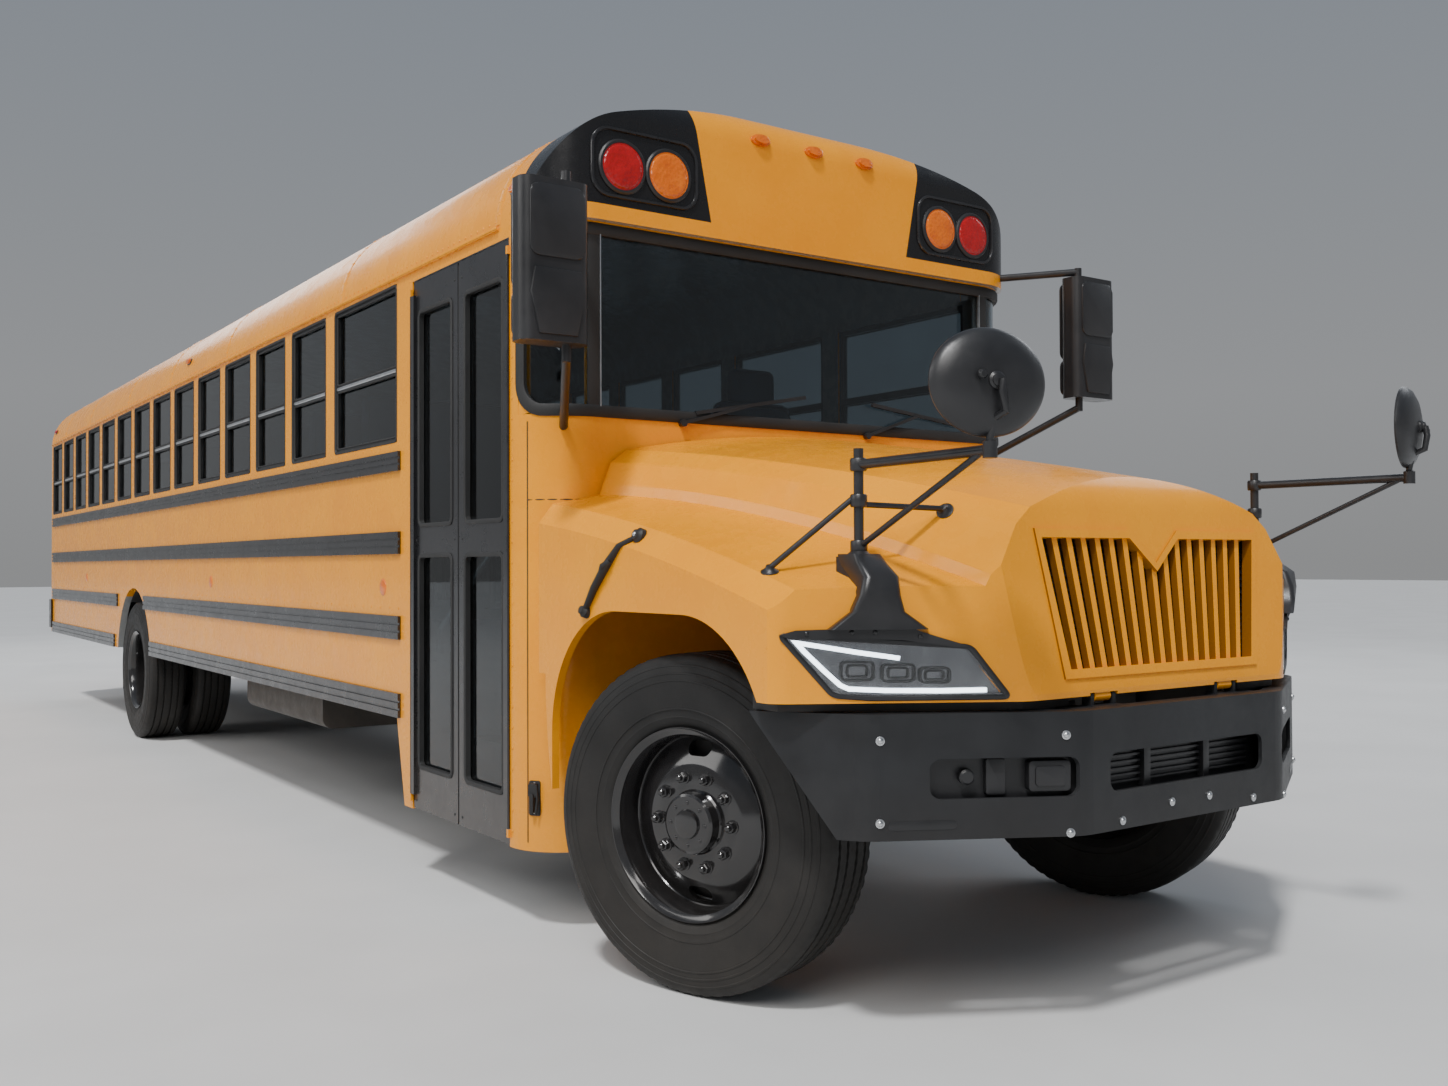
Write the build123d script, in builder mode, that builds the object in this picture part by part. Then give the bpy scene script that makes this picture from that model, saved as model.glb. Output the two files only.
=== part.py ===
from build123d import *
import math
import os

os.makedirs("parts", exist_ok=True)

# A long-nosed school bus, in mm. The front faces -Y, the bus's left is +X and the ground is z = 0.
# Along the bus, at(d) is the y of a point d behind the front axle.

# Overall
BODY_W = 2438.0
WHEELBASE = 7560.0
FRONT_REACH = 1300.0  # front axle forward to the hood mirrors
REAR_REACH = 4140.0  # rear axle back to the rear bumper
BUMPER_REACH = 60.0  # rear bumper behind the rear wall
AXLE_F = FRONT_REACH - (FRONT_REACH + WHEELBASE + REAR_REACH) / 2
AXLE_R = AXLE_F + WHEELBASE
TAIL = AXLE_R + REAR_REACH - BUMPER_REACH
HALF_W = BODY_W / 2

# Heights of the body
SKIRT_Z = 669.0
FLOOR_TOP = 1090.0
FLOOR_T = 50.0
SILL_Z = 1863.0  # foot of the side windows
WINDOW_TOP = 2555.0
GUTTER_Z = 2572.0
ROOF_TOP = 3106.0
ROOF_CORNER_R = 420.0
ROOF_R = min(ROOF_CORNER_R, 0.8 * (ROOF_TOP - GUTTER_Z))  # limited by the roof's rise
WALL = 50.0

# The body's front, from the front axle
BODY_FRONT = 690.0
CAP_FRONT = 655.0
CAP_REAR = 1000.0
FRONT_R = 225.0  # round corners in plan
WINDSHIELD_HALF = HALF_W - 239.0
WINDSHIELD_Z = 1870.0
CORNER_POST = 30.0
GLASS = 6.0

# Entrance on the bus's right, and the steps behind it
DOOR_AHEAD = 235.0  # body's front back to the entrance
DOOR_W = 930.0
DOOR_FOOT = 300.0
DOOR_TOP = 2530.0
LEAF_T = 40.0
GAP = 5.0
HINGE_OUT = 6.0  # door hinges' axes, out from the body's side
BARREL_R = 5.5
BARREL_END = 60.0  # barrels' ends, in from the leaf's foot and head
LUG_H = 30.0
LUG_GAP = 0.5
STEP_IN = 450.0  # inner end of the steps, from the middle
STEPS = 3
STEP_T = 25.0

# Side windows
WINDOW_1 = 2034.0
WINDOW_1_W = 816.0
WINDOW_W = 550.0
POST_W = 130.0
REAR_POST = 97.0
WINDOWS = 14
SASH = 25.0
SASH_DEPTH = 30.0
SASH_BAR_Z = 2180.0
DRIVER_WINDOW_Z = 1700.0

# Chassis
RAIL_X = 430.0  # outer faces of the frame rails
RAIL_TOP = 930.0
RAIL_H = 250.0
RAIL_FLANGE = 80.0
RAIL_WEB = 9.0
RAIL_FRONT = 925.0  # ahead of the front axle
ENGINE_FRONT = 620.0
ENGINE_REAR = 560.0
ENGINE_Z = 700.0
ENGINE_TOP = 1430.0

# Wheels
TYRE_R = 525.0
TYRE_W = 279.0
SHOULDER = 15.0
RIM_R = 298.0  # the tyre's bore and the rim's flanges
RIM_W = 250.0
RIM_T = 30.0
TRACK_X = 1000.0  # middle of a front tyre, wheels straight
KINGPIN_X = 900.0
STEER = 18.7  # the front wheels stand steered to the bus's left
DUAL_PITCH = 335.0
STUD_PCD = 285.75
STUDS = 10
ARM = 170.0  # kingpin to the tie rod's eye
ARCH_R = 620.0  # rear wheel arches
ARCH_Z = 539.0
FENDER_HALF = 622.0  # front wheel arches
FENDER_Z = 1176.0
FENDER_R = 430.0

# Hood and fenders in one tilting piece
HOOD_T = 28.0
HOOD_GAP = 10.0
HINGE_Y = -985.0
HINGE_Z = 945.0
HINGE_R = 16.0
PIVOT_R = 8.0
EAR_X = 290.0  # hood hinges, from the middle
EAR_T = 14.0
SIDE_GAP = 14.0  # hood and front bumper, in from the body's sides
FENDER_X = HALF_W - SIDE_GAP
NOSE_Y = -1000.0  # foot of the grille
NOSE_Z = 1000.0
NOSE_LEAN = 50.0 / 446.0
HOOD_FOOT = 948.0
POD_Z = 1158.0  # foot of the mirror pods
GRILLE_FOOT = 454.0
GRILLE_HEAD = 525.0
GRILLE_H = 425.0
NOTCH_HALF = 115.0
NOTCH_DEPTH = 99.0
SLATS = 15


def at(d):
    """y of a point d behind the front axle."""
    return AXLE_F + d


def across(y):
    """Plane across the bus at y, seen from ahead with z up. It extrudes forward."""
    return Plane.XZ.offset(-y)


def side(x):
    """Plane along the bus at x, with y to the right and z up. It extrudes to the bus's left."""
    return Plane.YZ.offset(x)


def block(x0, x1, y0, y1, z0, z1, mode=Mode.ADD):
    """A box by its faces."""
    with Locations(((x0 + x1) / 2, (y0 + y1) / 2, (z0 + z1) / 2)):
        Box(abs(x1 - x0), abs(y1 - y0), z1 - z0, mode=mode)


def patch(x0, x1, y0, y1, mode=Mode.ADD):
    """A rectangle by its sides."""
    with Locations(((x0 + x1) / 2, (y0 + y1) / 2)):
        Rectangle(abs(x1 - x0), abs(y1 - y0), mode=mode)


def tube(start, end, radius, mode=Mode.ADD):
    """A round bar between two points."""
    run = Vector(*end) - Vector(*start)
    with BuildSketch(Plane(origin=start, z_dir=run)) as end_face:
        Circle(radius)
    extrude(end_face.sketch, amount=run.length, mode=mode)


def strut(start, end, width):
    """A square bar between two points."""
    run = Vector(*end) - Vector(*start)
    with BuildSketch(Plane(origin=start, z_dir=run)) as end_face:
        Rectangle(width, width)
    extrude(end_face.sketch, amount=run.length)


def door_lugs(y, toward):
    """Lugs on an entrance post at both ends of the leaf's barrel; toward is the way to the post."""
    for z in (
        DOOR_FOOT + GAP + BARREL_END - LUG_GAP - LUG_H,
        DOOR_TOP - GAP - BARREL_END + LUG_GAP,
    ):
        block(-HALF_W - HINGE_OUT - BARREL_R, -HALF_W, y - toward * GAP, y + toward * 10, z, z + LUG_H)


def quarter(centre, radius, start):
    """A quarter arc about centre, from the angle start on, anticlockwise."""
    points = []
    for turn in (0, 45, 90):
        a = math.radians(start + turn)
        points.append((centre[0] + radius * math.cos(a), centre[1] + radius * math.sin(a)))
    ThreePointArc(*points)


def body_outline(inset, base):
    """The body seen from ahead: walls up from base, round roof corners and a crowned roof."""
    half = HALF_W - inset
    r = ROOF_R - inset
    c = HALF_W - ROOF_R
    h = ROOF_TOP - GUTTER_Z - inset
    crown = (c * c + h * h - r * r) / (2 * (h - r))
    end = math.pi / 2 - math.atan2(c, crown - h)
    mid = (c + r * math.cos(end / 2), GUTTER_Z + r * math.sin(end / 2))
    top = (c + r * math.cos(end), GUTTER_Z + r * math.sin(end))
    with BuildLine() as edge:
        if base < GUTTER_Z:
            Polyline((-half, GUTTER_Z), (-half, base), (half, base), (half, GUTTER_Z))
        else:
            Line((-half, GUTTER_Z), (half, GUTTER_Z))
        ThreePointArc((half, GUTTER_Z), mid, top)
        ThreePointArc(top, (0, GUTTER_Z + h), (-top[0], top[1]))
        ThreePointArc((-top[0], top[1]), (-mid[0], mid[1]), (-half, GUTTER_Z))
    make_face(edge.edges())


def body_plan(inset, front, rear, mode=Mode.ADD):
    """The body seen from above: flat ahead with round corners, open-ended at rear."""
    half = HALF_W - inset
    r = FRONT_R - inset
    ahead = front + inset
    with BuildLine() as edge:
        Polyline((half, ahead + r), (half, rear), (-half, rear), (-half, ahead + r))
        quarter((-half + r, ahead + r), r, 180)
        Line((-half + r, ahead), (half - r, ahead))
        quarter((half - r, ahead + r), r, 270)
    make_face(edge.edges(), mode=mode)


# Chassis
REAR_END = TAIL - WALL
CROSS_MEMBERS = (at(900), at(2700), at(4500), at(6300), AXLE_R + 800, AXLE_R + 2200, REAR_END - 60)
with BuildPart() as frame_rails:
    with BuildSketch(across(REAR_END)):
        for s in (-1, 1):
            patch(s * RAIL_X, s * (RAIL_X - RAIL_FLANGE), RAIL_TOP - RAIL_H, RAIL_TOP)
            patch(
                s * (RAIL_X - RAIL_WEB), s * (RAIL_X - RAIL_FLANGE),
                RAIL_TOP - RAIL_H + RAIL_WEB, RAIL_TOP - RAIL_WEB, mode=Mode.SUBTRACT,
            )
    extrude(amount=REAR_END - at(-RAIL_FRONT))
    for y in CROSS_MEMBERS:
        block(
            RAIL_WEB - RAIL_X, RAIL_X - RAIL_WEB, y, y + 60,
            RAIL_TOP - RAIL_H / 2, RAIL_TOP - RAIL_WEB,
        )
frame_rails.part.label = "frame_rails"
export_step(frame_rails.part, "parts/frame_rails.step")

ENGINE_HALF = RAIL_X - RAIL_FLANGE
with BuildPart() as engine_block:
    block(-ENGINE_HALF, ENGINE_HALF, at(-ENGINE_FRONT), at(ENGINE_REAR), ENGINE_Z, ENGINE_TOP)
engine_block.part.label = "engine_block"
export_step(engine_block.part, "parts/engine_block.step")

with BuildPart() as radiator:
    block(-RAIL_X, RAIL_X, at(-860), at(-790), RAIL_TOP, 1370.0)
radiator.part.label = "radiator"
export_step(radiator.part, "parts/radiator.step")

SHAFT_Z = ENGINE_Z + 60
PINION_Y = AXLE_R - 205  # front face of the rear axle's drive housing
with BuildPart() as drive_shaft:
    tube((0, at(ENGINE_REAR) + 60, SHAFT_Z), (0, PINION_Y - 30, TYRE_R), 45.0)
    block(-80, 80, at(ENGINE_REAR), at(ENGINE_REAR) + 90, ENGINE_Z, ENGINE_Z + 130)
    block(-70, 70, PINION_Y - 50, PINION_Y, TYRE_R - 70, TYRE_R + 70)
drive_shaft.part.label = "drive_shaft"
export_step(drive_shaft.part, "parts/drive_shaft.step")

# Front axle: a beam between the kingpins, with the springs that carry the rails
LUG_Z = 75.0  # kingpin lugs above and below the hub's height
LUG_T = 40.0
PIN_R = 15.0
FIT = 0.3
BOSS_H = 2 * (LUG_Z - GAP)
with BuildPart() as front_axle:
    block(-KINGPIN_X, KINGPIN_X, AXLE_F - 45, AXLE_F + 45, TYRE_R - 60, TYRE_R + 50)
    for s in (-1, 1):
        with Locations((s * KINGPIN_X, AXLE_F, TYRE_R)):
            Cylinder(45, BOSS_H)
            Cylinder(PIN_R, 2 * (LUG_Z + LUG_T))
front_axle.part.label = "front_axle"
export_step(front_axle.part, "parts/front_axle.step")

REAR_OUTER_X = HALF_W - 6 - TYRE_W / 2
TWIN_X = REAR_OUTER_X - DUAL_PITCH / 2
REAR_SPINDLE = 50.0
with BuildPart() as rear_axle:
    tube((-600, AXLE_R, TYRE_R), (600, AXLE_R, TYRE_R), 70.0)
    tube((-TWIN_X - 60, AXLE_R, TYRE_R), (TWIN_X + 60, AXLE_R, TYRE_R), REAR_SPINDLE)
    tube((0, PINION_Y, TYRE_R), (0, AXLE_R + 150, TYRE_R), 190.0)
rear_axle.part.label = "rear_axle"
export_step(rear_axle.part, "parts/rear_axle.step")

SPRING_X = 430.0
SPRING_W = 76.0
SPRING_T = 70.0
RAIL_FOOT = RAIL_TOP - RAIL_H
SPRINGS = (
    # axle y, seat z, half length
    (AXLE_F, TYRE_R + 50, 560.0),
    (AXLE_R, TYRE_R + 70, 650.0),
)
with BuildPart() as leaf_springs:
    for y, seat, half in SPRINGS:
        for s in (-1, 1):
            with BuildSketch(side(s * SPRING_X - SPRING_W / 2)):
                with BuildLine():
                    ThreePointArc((y - half, RAIL_FOOT - 40), (y, seat), (y + half, RAIL_FOOT - 40))
                    Line((y + half, RAIL_FOOT - 40), (y + half, RAIL_FOOT))
                    Line((y + half, RAIL_FOOT), (y + half - 90, RAIL_FOOT))
                    ThreePointArc((y + half - 90, RAIL_FOOT), (y, seat + SPRING_T), (y - half + 90, RAIL_FOOT))
                    Line((y - half + 90, RAIL_FOOT), (y - half, RAIL_FOOT))
                    Line((y - half, RAIL_FOOT), (y - half, RAIL_FOOT - 40))
                make_face()
            extrude(amount=SPRING_W)
leaf_springs.part.label = "leaf_springs"
export_step(leaf_springs.part, "parts/leaf_springs.step")

TANK_X = 560.0
with BuildPart() as fuel_tank:
    with BuildSketch(across(at(4700))):
        with Locations((-(TANK_X + HALF_W - 90) / 2, 690)):
            RectangleRounded(HALF_W - 90 - TANK_X, 420, 60)
    extrude(amount=1400)
    for y in (3600, 4400):
        block(-TANK_X, -RAIL_X, at(y), at(y) + 60, 700, 880)
fuel_tank.part.label = "fuel_tank"
export_step(fuel_tank.part, "parts/fuel_tank.step")

PIPE_X = 520.0
PIPE_Z = 830.0
with BuildPart() as exhaust:
    tube((PIPE_X, at(1500), PIPE_Z), (PIPE_X, TAIL - 120, PIPE_Z), 36.0)
    tube((PIPE_X + 70, at(2900), PIPE_Z - 40), (PIPE_X + 70, at(4100), PIPE_Z - 40), 120.0)
    for y in (at(1600), at(5600), AXLE_R + 1600, AXLE_R + 3600):
        block(RAIL_X, PIPE_X, y, y + 30, PIPE_Z - 15, PIPE_Z + 15)
exhaust.part.label = "exhaust"
export_step(exhaust.part, "parts/exhaust.step")

# Bumpers
BUMPER_LOW = 580.0
BUMPER_HIGH = 920.0
BUMPER_SKIN = 12.0
BUMPER_FACE = 1080.0
BUMPER_BEND = 150.0


def bumper_plan(inset, mode=Mode.ADD):
    """The front bumper seen from above: flat in the middle, swept back to the sides."""
    right = [
        (FENDER_X - inset, at(-400)),
        (FENDER_X - inset, at(-500) + inset * 0.4),
        (FENDER_X - 205 - inset * 0.7, at(-790) + inset * 0.9),
        (470 - inset * 0.3, at(-BUMPER_FACE) + inset),
    ]
    left = [(-x, y) for x, y in right]
    with BuildLine() as edge:
        bend = FilletPolyline(*left, *reversed(right), radius=BUMPER_BEND - inset)
        Line(bend @ 1, bend @ 0)
    make_face(edge.edges(), mode=mode)


FACE_HOLES = (
    # x z radius, through the face
    (89.0, 633.0, 5.0),
    (-89.0, 633.0, 5.0),
)
SLOT_R = 30.0
FACE_SLOTS = (
    # middle x, width, low z, high z
    (-664.0, 370.0, 689.0, 797.0),
    (0.0, 720.0, 689.0, 797.0),
    (664.0, 370.0, 689.0, 797.0),
)
with BuildPart() as front_bumper:
    with BuildSketch(Plane.XY.offset(BUMPER_LOW)):
        bumper_plan(0)
        bumper_plan(60, mode=Mode.SUBTRACT)
    extrude(amount=BUMPER_HIGH - BUMPER_LOW)
    with BuildSketch(Plane.XY.offset(BUMPER_LOW + BUMPER_SKIN)):
        bumper_plan(BUMPER_SKIN)
    extrude(amount=BUMPER_HIGH - BUMPER_LOW - 2 * BUMPER_SKIN, mode=Mode.SUBTRACT)
    with BuildSketch(across(at(-700))):
        for x, width, low, high in FACE_SLOTS:
            with Locations((x, (low + high) / 2)):
                RectangleRounded(width, high - low, SLOT_R)
    extrude(amount=500, mode=Mode.SUBTRACT)
    for x, z, radius in FACE_HOLES:
        tube((x, at(-BUMPER_FACE) + 30, z), (x, at(-BUMPER_FACE) - 30, z), radius, mode=Mode.SUBTRACT)
    with BuildSketch(side(-HALF_W)):
        Polygon(
            (at(-727), BUMPER_LOW - 10), (at(-510), BUMPER_HIGH + 10), (at(-300), BUMPER_HIGH + 10),
            (at(-300), BUMPER_LOW - 10), align=None,
        )
    extrude(amount=BODY_W, mode=Mode.SUBTRACT)
    for s in (-1, 1):
        block(
            s * RAIL_X, s * (RAIL_X - RAIL_FLANGE), at(-BUMPER_FACE) + BUMPER_SKIN - 1, at(-RAIL_FRONT),
            RAIL_FOOT + 135, BUMPER_HIGH - 2,
        )
        block(s * RAIL_X, s * (RAIL_X - RAIL_FLANGE), at(-1010), at(-RAIL_FRONT), RAIL_FOOT + 5, 900)
        for x in (EAR_X - 40 - EAR_T, EAR_X + 40):
            with BuildSketch(side(min(s * x, s * (x + EAR_T)))):
                with Locations((at(HINGE_Y), HINGE_Z)):
                    Circle(HINGE_R)
                patch(at(HINGE_Y) - HINGE_R, at(HINGE_Y) + HINGE_R, BUMPER_HIGH - 5, HINGE_Z)
            extrude(amount=EAR_T)
        tube((s * (EAR_X - 50), at(HINGE_Y), HINGE_Z), (s * (EAR_X + 50), at(HINGE_Y), HINGE_Z), PIVOT_R)
        block(
            s * (EAR_X - 60), s * (EAR_X + 60), at(-1060), at(HINGE_Y) + HINGE_R,
            BUMPER_HIGH - BUMPER_SKIN, BUMPER_HIGH,
        )
front_bumper.part.label = "front_bumper"
export_step(front_bumper.part, "parts/front_bumper.step")

REAR_LOW = 710.0
REAR_HIGH = 998.0
REAR_WRAP = HALF_W + 8
with BuildPart() as rear_bumper:
    with BuildSketch(Plane.XY.offset(REAR_LOW)):
        with Locations((0, TAIL + BUMPER_REACH - 250)):
            RectangleRounded(2 * (REAR_WRAP + BUMPER_SKIN), 500, 50)
            RectangleRounded(2 * REAR_WRAP, 500 - 2 * BUMPER_SKIN, 50 - BUMPER_SKIN, mode=Mode.SUBTRACT)
        patch(-BODY_W, BODY_W, TAIL - 500, TAIL - 100, mode=Mode.SUBTRACT)
    extrude(amount=REAR_HIGH - REAR_LOW)
    for s in (-1, 1):
        block(s * 300, s * 420, TAIL, TAIL + BUMPER_REACH - BUMPER_SKIN + 1, REAR_LOW, REAR_HIGH)
        block(
            s * (HALF_W - 110), s * (HALF_W - 60), TAIL, TAIL + BUMPER_REACH - BUMPER_SKIN + 1,
            REAR_LOW, REAR_HIGH,
        )
rear_bumper.part.label = "rear_bumper"
export_step(rear_bumper.part, "parts/rear_bumper.step")

# Floor, with sills on the rails and housings over the rear wheels
DOOR_FRONT = at(BODY_FRONT + DOOR_AHEAD)
DOOR_REAR = DOOR_FRONT + DOOR_W
STEP_WALL = DOOR_AHEAD - FRONT_R
INSIDE = HALF_W - WALL
HOUSING_X = TWIN_X - DUAL_PITCH / 2 - TYRE_W / 2 - 40
FLOOR_FRONT = at(BODY_FRONT) + WALL
SILL_YS = (at(2200), at(3000), at(5000), at(6000), AXLE_R + 900, AXLE_R + 1900, AXLE_R + 2900, REAR_END - 120)
with BuildPart() as floor:
    with BuildSketch(Plane.XY.offset(FLOOR_TOP - FLOOR_T)):
        body_plan(WALL, at(BODY_FRONT), REAR_END)
    extrude(amount=FLOOR_T)
    for s in (-1, 1):
        tube((s * HOUSING_X, AXLE_R, ARCH_Z), (s * INSIDE, AXLE_R, ARCH_Z), ARCH_R + 15)
    for s in (-1, 1):
        tube((s * (HOUSING_X + 15), AXLE_R, ARCH_Z), (s * (INSIDE + 1), AXLE_R, ARCH_Z), ARCH_R, mode=Mode.SUBTRACT)
    block(-INSIDE, INSIDE, AXLE_R - 900, AXLE_R + 900, -200, FLOOR_TOP - FLOOR_T, mode=Mode.SUBTRACT)
    for y in SILL_YS:
        block(-INSIDE, INSIDE, y, y + 60, RAIL_TOP, FLOOR_TOP - FLOOR_T)
    block(-RAIL_X, INSIDE, at(1100), at(1160), RAIL_TOP, FLOOR_TOP - FLOOR_T)
    block(
        -INSIDE - 1, -STEP_IN, DOOR_FRONT - STEP_WALL, DOOR_REAR + STEP_WALL,
        RAIL_TOP, FLOOR_TOP + 1, mode=Mode.SUBTRACT,
    )
floor.part.label = "floor"
export_step(floor.part, "parts/floor.step")

STEP_RISE = (FLOOR_TOP - DOOR_FOOT - STEP_T) / STEPS
STEP_RUN = (INSIDE - STEP_IN - STEP_T) / STEPS
with BuildPart() as step_well:
    with BuildSketch(across(DOOR_REAR + STEP_WALL)):
        for i in range(STEPS):
            x = -INSIDE + i * STEP_RUN
            z = DOOR_FOOT + STEP_T + i * STEP_RISE
            patch(x, x + STEP_RUN + STEP_T, z - STEP_T, z)
            patch(x + STEP_RUN, x + STEP_RUN + STEP_T, z - STEP_T, z + STEP_RISE)
    extrude(amount=DOOR_W + 2 * STEP_WALL)
    with BuildSketch(across(DOOR_REAR + STEP_WALL)):
        Polygon(
            (-INSIDE, DOOR_FOOT), (-INSIDE + STEP_RUN, DOOR_FOOT), (-STEP_IN, FLOOR_TOP - STEP_RISE),
            (-STEP_IN, FLOOR_TOP), (-INSIDE, FLOOR_TOP), align=None,
        )
    extrude(amount=STEP_WALL)
    with BuildSketch(across(DOOR_FRONT)):
        Polygon(
            (-INSIDE, DOOR_FOOT), (-INSIDE + STEP_RUN, DOOR_FOOT), (-STEP_IN, FLOOR_TOP - STEP_RISE),
            (-STEP_IN, FLOOR_TOP), (-INSIDE, FLOOR_TOP), align=None,
        )
    extrude(amount=STEP_WALL)
step_well.part.label = "step_well"
export_step(step_well.part, "parts/step_well.step")

# Side walls
FIRST = at(WINDOW_1)
SECOND = FIRST + WINDOW_1_W + POST_W
PITCH = (REAR_END - REAR_POST + WALL - WINDOW_W - SECOND) / (WINDOWS - 2)
ROW = [(FIRST, WINDOW_1_W)]
for i in range(WINDOWS - 1):
    ROW.append((SECOND + i * PITCH, WINDOW_W))
DRIVER_FRONT = DOOR_FRONT + 60
DRIVER_W = FIRST - POST_W - DRIVER_FRONT
WELL_REAR = DOOR_REAR + 90  # foot of the panel behind the door

with BuildPart() as wall_right:
    with BuildSketch(side(-HALF_W)):
        patch(DOOR_FRONT, REAR_END, SKIRT_Z, GUTTER_Z)
        Polygon(
            (DOOR_REAR, SKIRT_Z), (DOOR_REAR, DOOR_FOOT), (WELL_REAR, DOOR_FOOT),
            (WELL_REAR + 90, SKIRT_Z), align=None,
        )
        patch(DOOR_FRONT, DOOR_REAR, SKIRT_Z, DOOR_TOP, mode=Mode.SUBTRACT)
        for y, w in ROW:
            patch(y, y + w, SILL_Z, WINDOW_TOP, mode=Mode.SUBTRACT)
        with Locations((AXLE_R, ARCH_Z)):
            Circle(ARCH_R, mode=Mode.SUBTRACT)
    extrude(amount=WALL)
    door_lugs(DOOR_REAR, 1)
wall_right.part.label = "wall_right"
export_step(wall_right.part, "parts/wall_right.step")

with BuildPart() as wall_left:
    with BuildSketch(side(INSIDE)):
        patch(DOOR_FRONT, REAR_END, SKIRT_Z, GUTTER_Z)
        patch(DRIVER_FRONT, DRIVER_FRONT + DRIVER_W, DRIVER_WINDOW_Z, WINDOW_TOP, mode=Mode.SUBTRACT)
        for y, w in ROW:
            patch(y, y + w, SILL_Z, WINDOW_TOP, mode=Mode.SUBTRACT)
        with Locations((AXLE_R, ARCH_Z)):
            Circle(ARCH_R, mode=Mode.SUBTRACT)
    extrude(amount=WALL)
wall_left.part.label = "wall_left"
export_step(wall_left.part, "parts/wall_left.step")

# Front wall: firewall, round corners and windshield frame
with BuildPart() as front_wall:
    with BuildSketch(Plane.XY.offset(DOOR_FOOT)):
        body_plan(0, at(BODY_FRONT), DOOR_FRONT)
        body_plan(WALL, at(BODY_FRONT), DOOR_FRONT, mode=Mode.SUBTRACT)
    extrude(amount=GUTTER_Z - DOOR_FOOT)
    block(-620, 620, at(600), at(800), DOOR_FOOT, RAIL_TOP, mode=Mode.SUBTRACT)
    block(-900, -600, at(600), at(800), DOOR_FOOT, SKIRT_Z, mode=Mode.SUBTRACT)
    block(600, HALF_W, at(600), DOOR_FRONT, DOOR_FOOT, SKIRT_Z, mode=Mode.SUBTRACT)
    block(
        -WINDSHIELD_HALF, WINDSHIELD_HALF, at(600), at(800),
        WINDSHIELD_Z, WINDOW_TOP, mode=Mode.SUBTRACT,
    )
    for s in (-1, 1):
        block(
            s * (WINDSHIELD_HALF + CORNER_POST), s * (HALF_W + 1), at(600), DOOR_FRONT - 60,
            WINDSHIELD_Z, WINDOW_TOP, mode=Mode.SUBTRACT,
        )
    door_lugs(DOOR_FRONT, -1)
front_wall.part.label = "front_wall"
export_step(front_wall.part, "parts/front_wall.step")

with BuildPart() as windshield:
    with BuildSketch(Plane.XY.offset(WINDSHIELD_Z)):
        body_plan(12, at(BODY_FRONT), DOOR_FRONT)
        body_plan(12 + GLASS, at(BODY_FRONT), DOOR_FRONT, mode=Mode.SUBTRACT)
        patch(-HALF_W, HALF_W, DOOR_FRONT - 60, DOOR_FRONT + 1, mode=Mode.SUBTRACT)
    extrude(amount=WINDOW_TOP - WINDSHIELD_Z)
    for s in (-1, 1):
        block(
            s * WINDSHIELD_HALF, s * (WINDSHIELD_HALF + CORNER_POST), at(600), at(860),
            WINDSHIELD_Z, WINDOW_TOP, mode=Mode.SUBTRACT,
        )
windshield.part.label = "windshield"
export_step(windshield.part, "parts/windshield.step")

# Roof: front cap, long shell with two hatches, and the rear wall
CAP_T = 45.0
CAP_LIP = 2.0  # how far the cap's round corners stand out from the body's
BROW_R = 150.0
with BuildPart() as front_cap:
    with BuildSketch(across(at(CAP_REAR))):
        body_outline(0, GUTTER_Z)
    extrude(amount=CAP_REAR - CAP_FRONT)
    with BuildSketch(Plane.XY.offset(GUTTER_Z)):
        body_plan(-CAP_LIP, at(CAP_FRONT) + CAP_LIP, at(CAP_REAR))
    extrude(amount=ROOF_TOP - GUTTER_Z, mode=Mode.INTERSECT)
    with BuildSketch(side(-HALF_W)):
        with BuildLine():
            brow = FilletPolyline(
                (at(CAP_REAR), ROOF_TOP), (at(CAP_FRONT), ROOF_TOP), (at(CAP_FRONT), GUTTER_Z), radius=BROW_R,
            )
            Polyline(brow @ 1, (at(CAP_REAR), GUTTER_Z), brow @ 0)
        make_face()
    extrude(amount=BODY_W, mode=Mode.INTERSECT)
    with BuildSketch(across(at(CAP_REAR))):
        body_outline(CAP_T, GUTTER_Z)
    extrude(amount=CAP_REAR - CAP_FRONT - CAP_T - 60, mode=Mode.SUBTRACT)
front_cap.part.label = "front_cap"
export_step(front_cap.part, "parts/front_cap.step")

HATCH = 300.0  # half the clear opening
HATCH_RING = 30.0
HATCH_UP = 25.0
HATCH_LID = 35.0
HATCH_HINGE = HATCH + HATCH_RING + 20  # hinge axis ahead of the hatch's middle
HATCH_AXIS_Z = ROOF_TOP + HATCH_UP + GAP
HATCH_BARREL = 120.0  # half the barrel's length
HATCH_BARREL_R = 6.0
HATCHES = (at(3900), at(8600))
with BuildPart() as roof:
    with BuildSketch(across(REAR_END)):
        body_outline(0, GUTTER_Z)
    extrude(amount=REAR_END - at(CAP_REAR))
    with BuildSketch(across(REAR_END)):
        body_outline(WALL, GUTTER_Z)
    extrude(amount=REAR_END - at(CAP_REAR), mode=Mode.SUBTRACT)
    for y in HATCHES:
        block(
            -HATCH - HATCH_RING, HATCH + HATCH_RING, y - HATCH - HATCH_RING, y + HATCH + HATCH_RING,
            ROOF_TOP - 200, ROOF_TOP + 10, mode=Mode.SUBTRACT,
        )
roof.part.label = "roof"
export_step(roof.part, "parts/roof.step")

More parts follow.
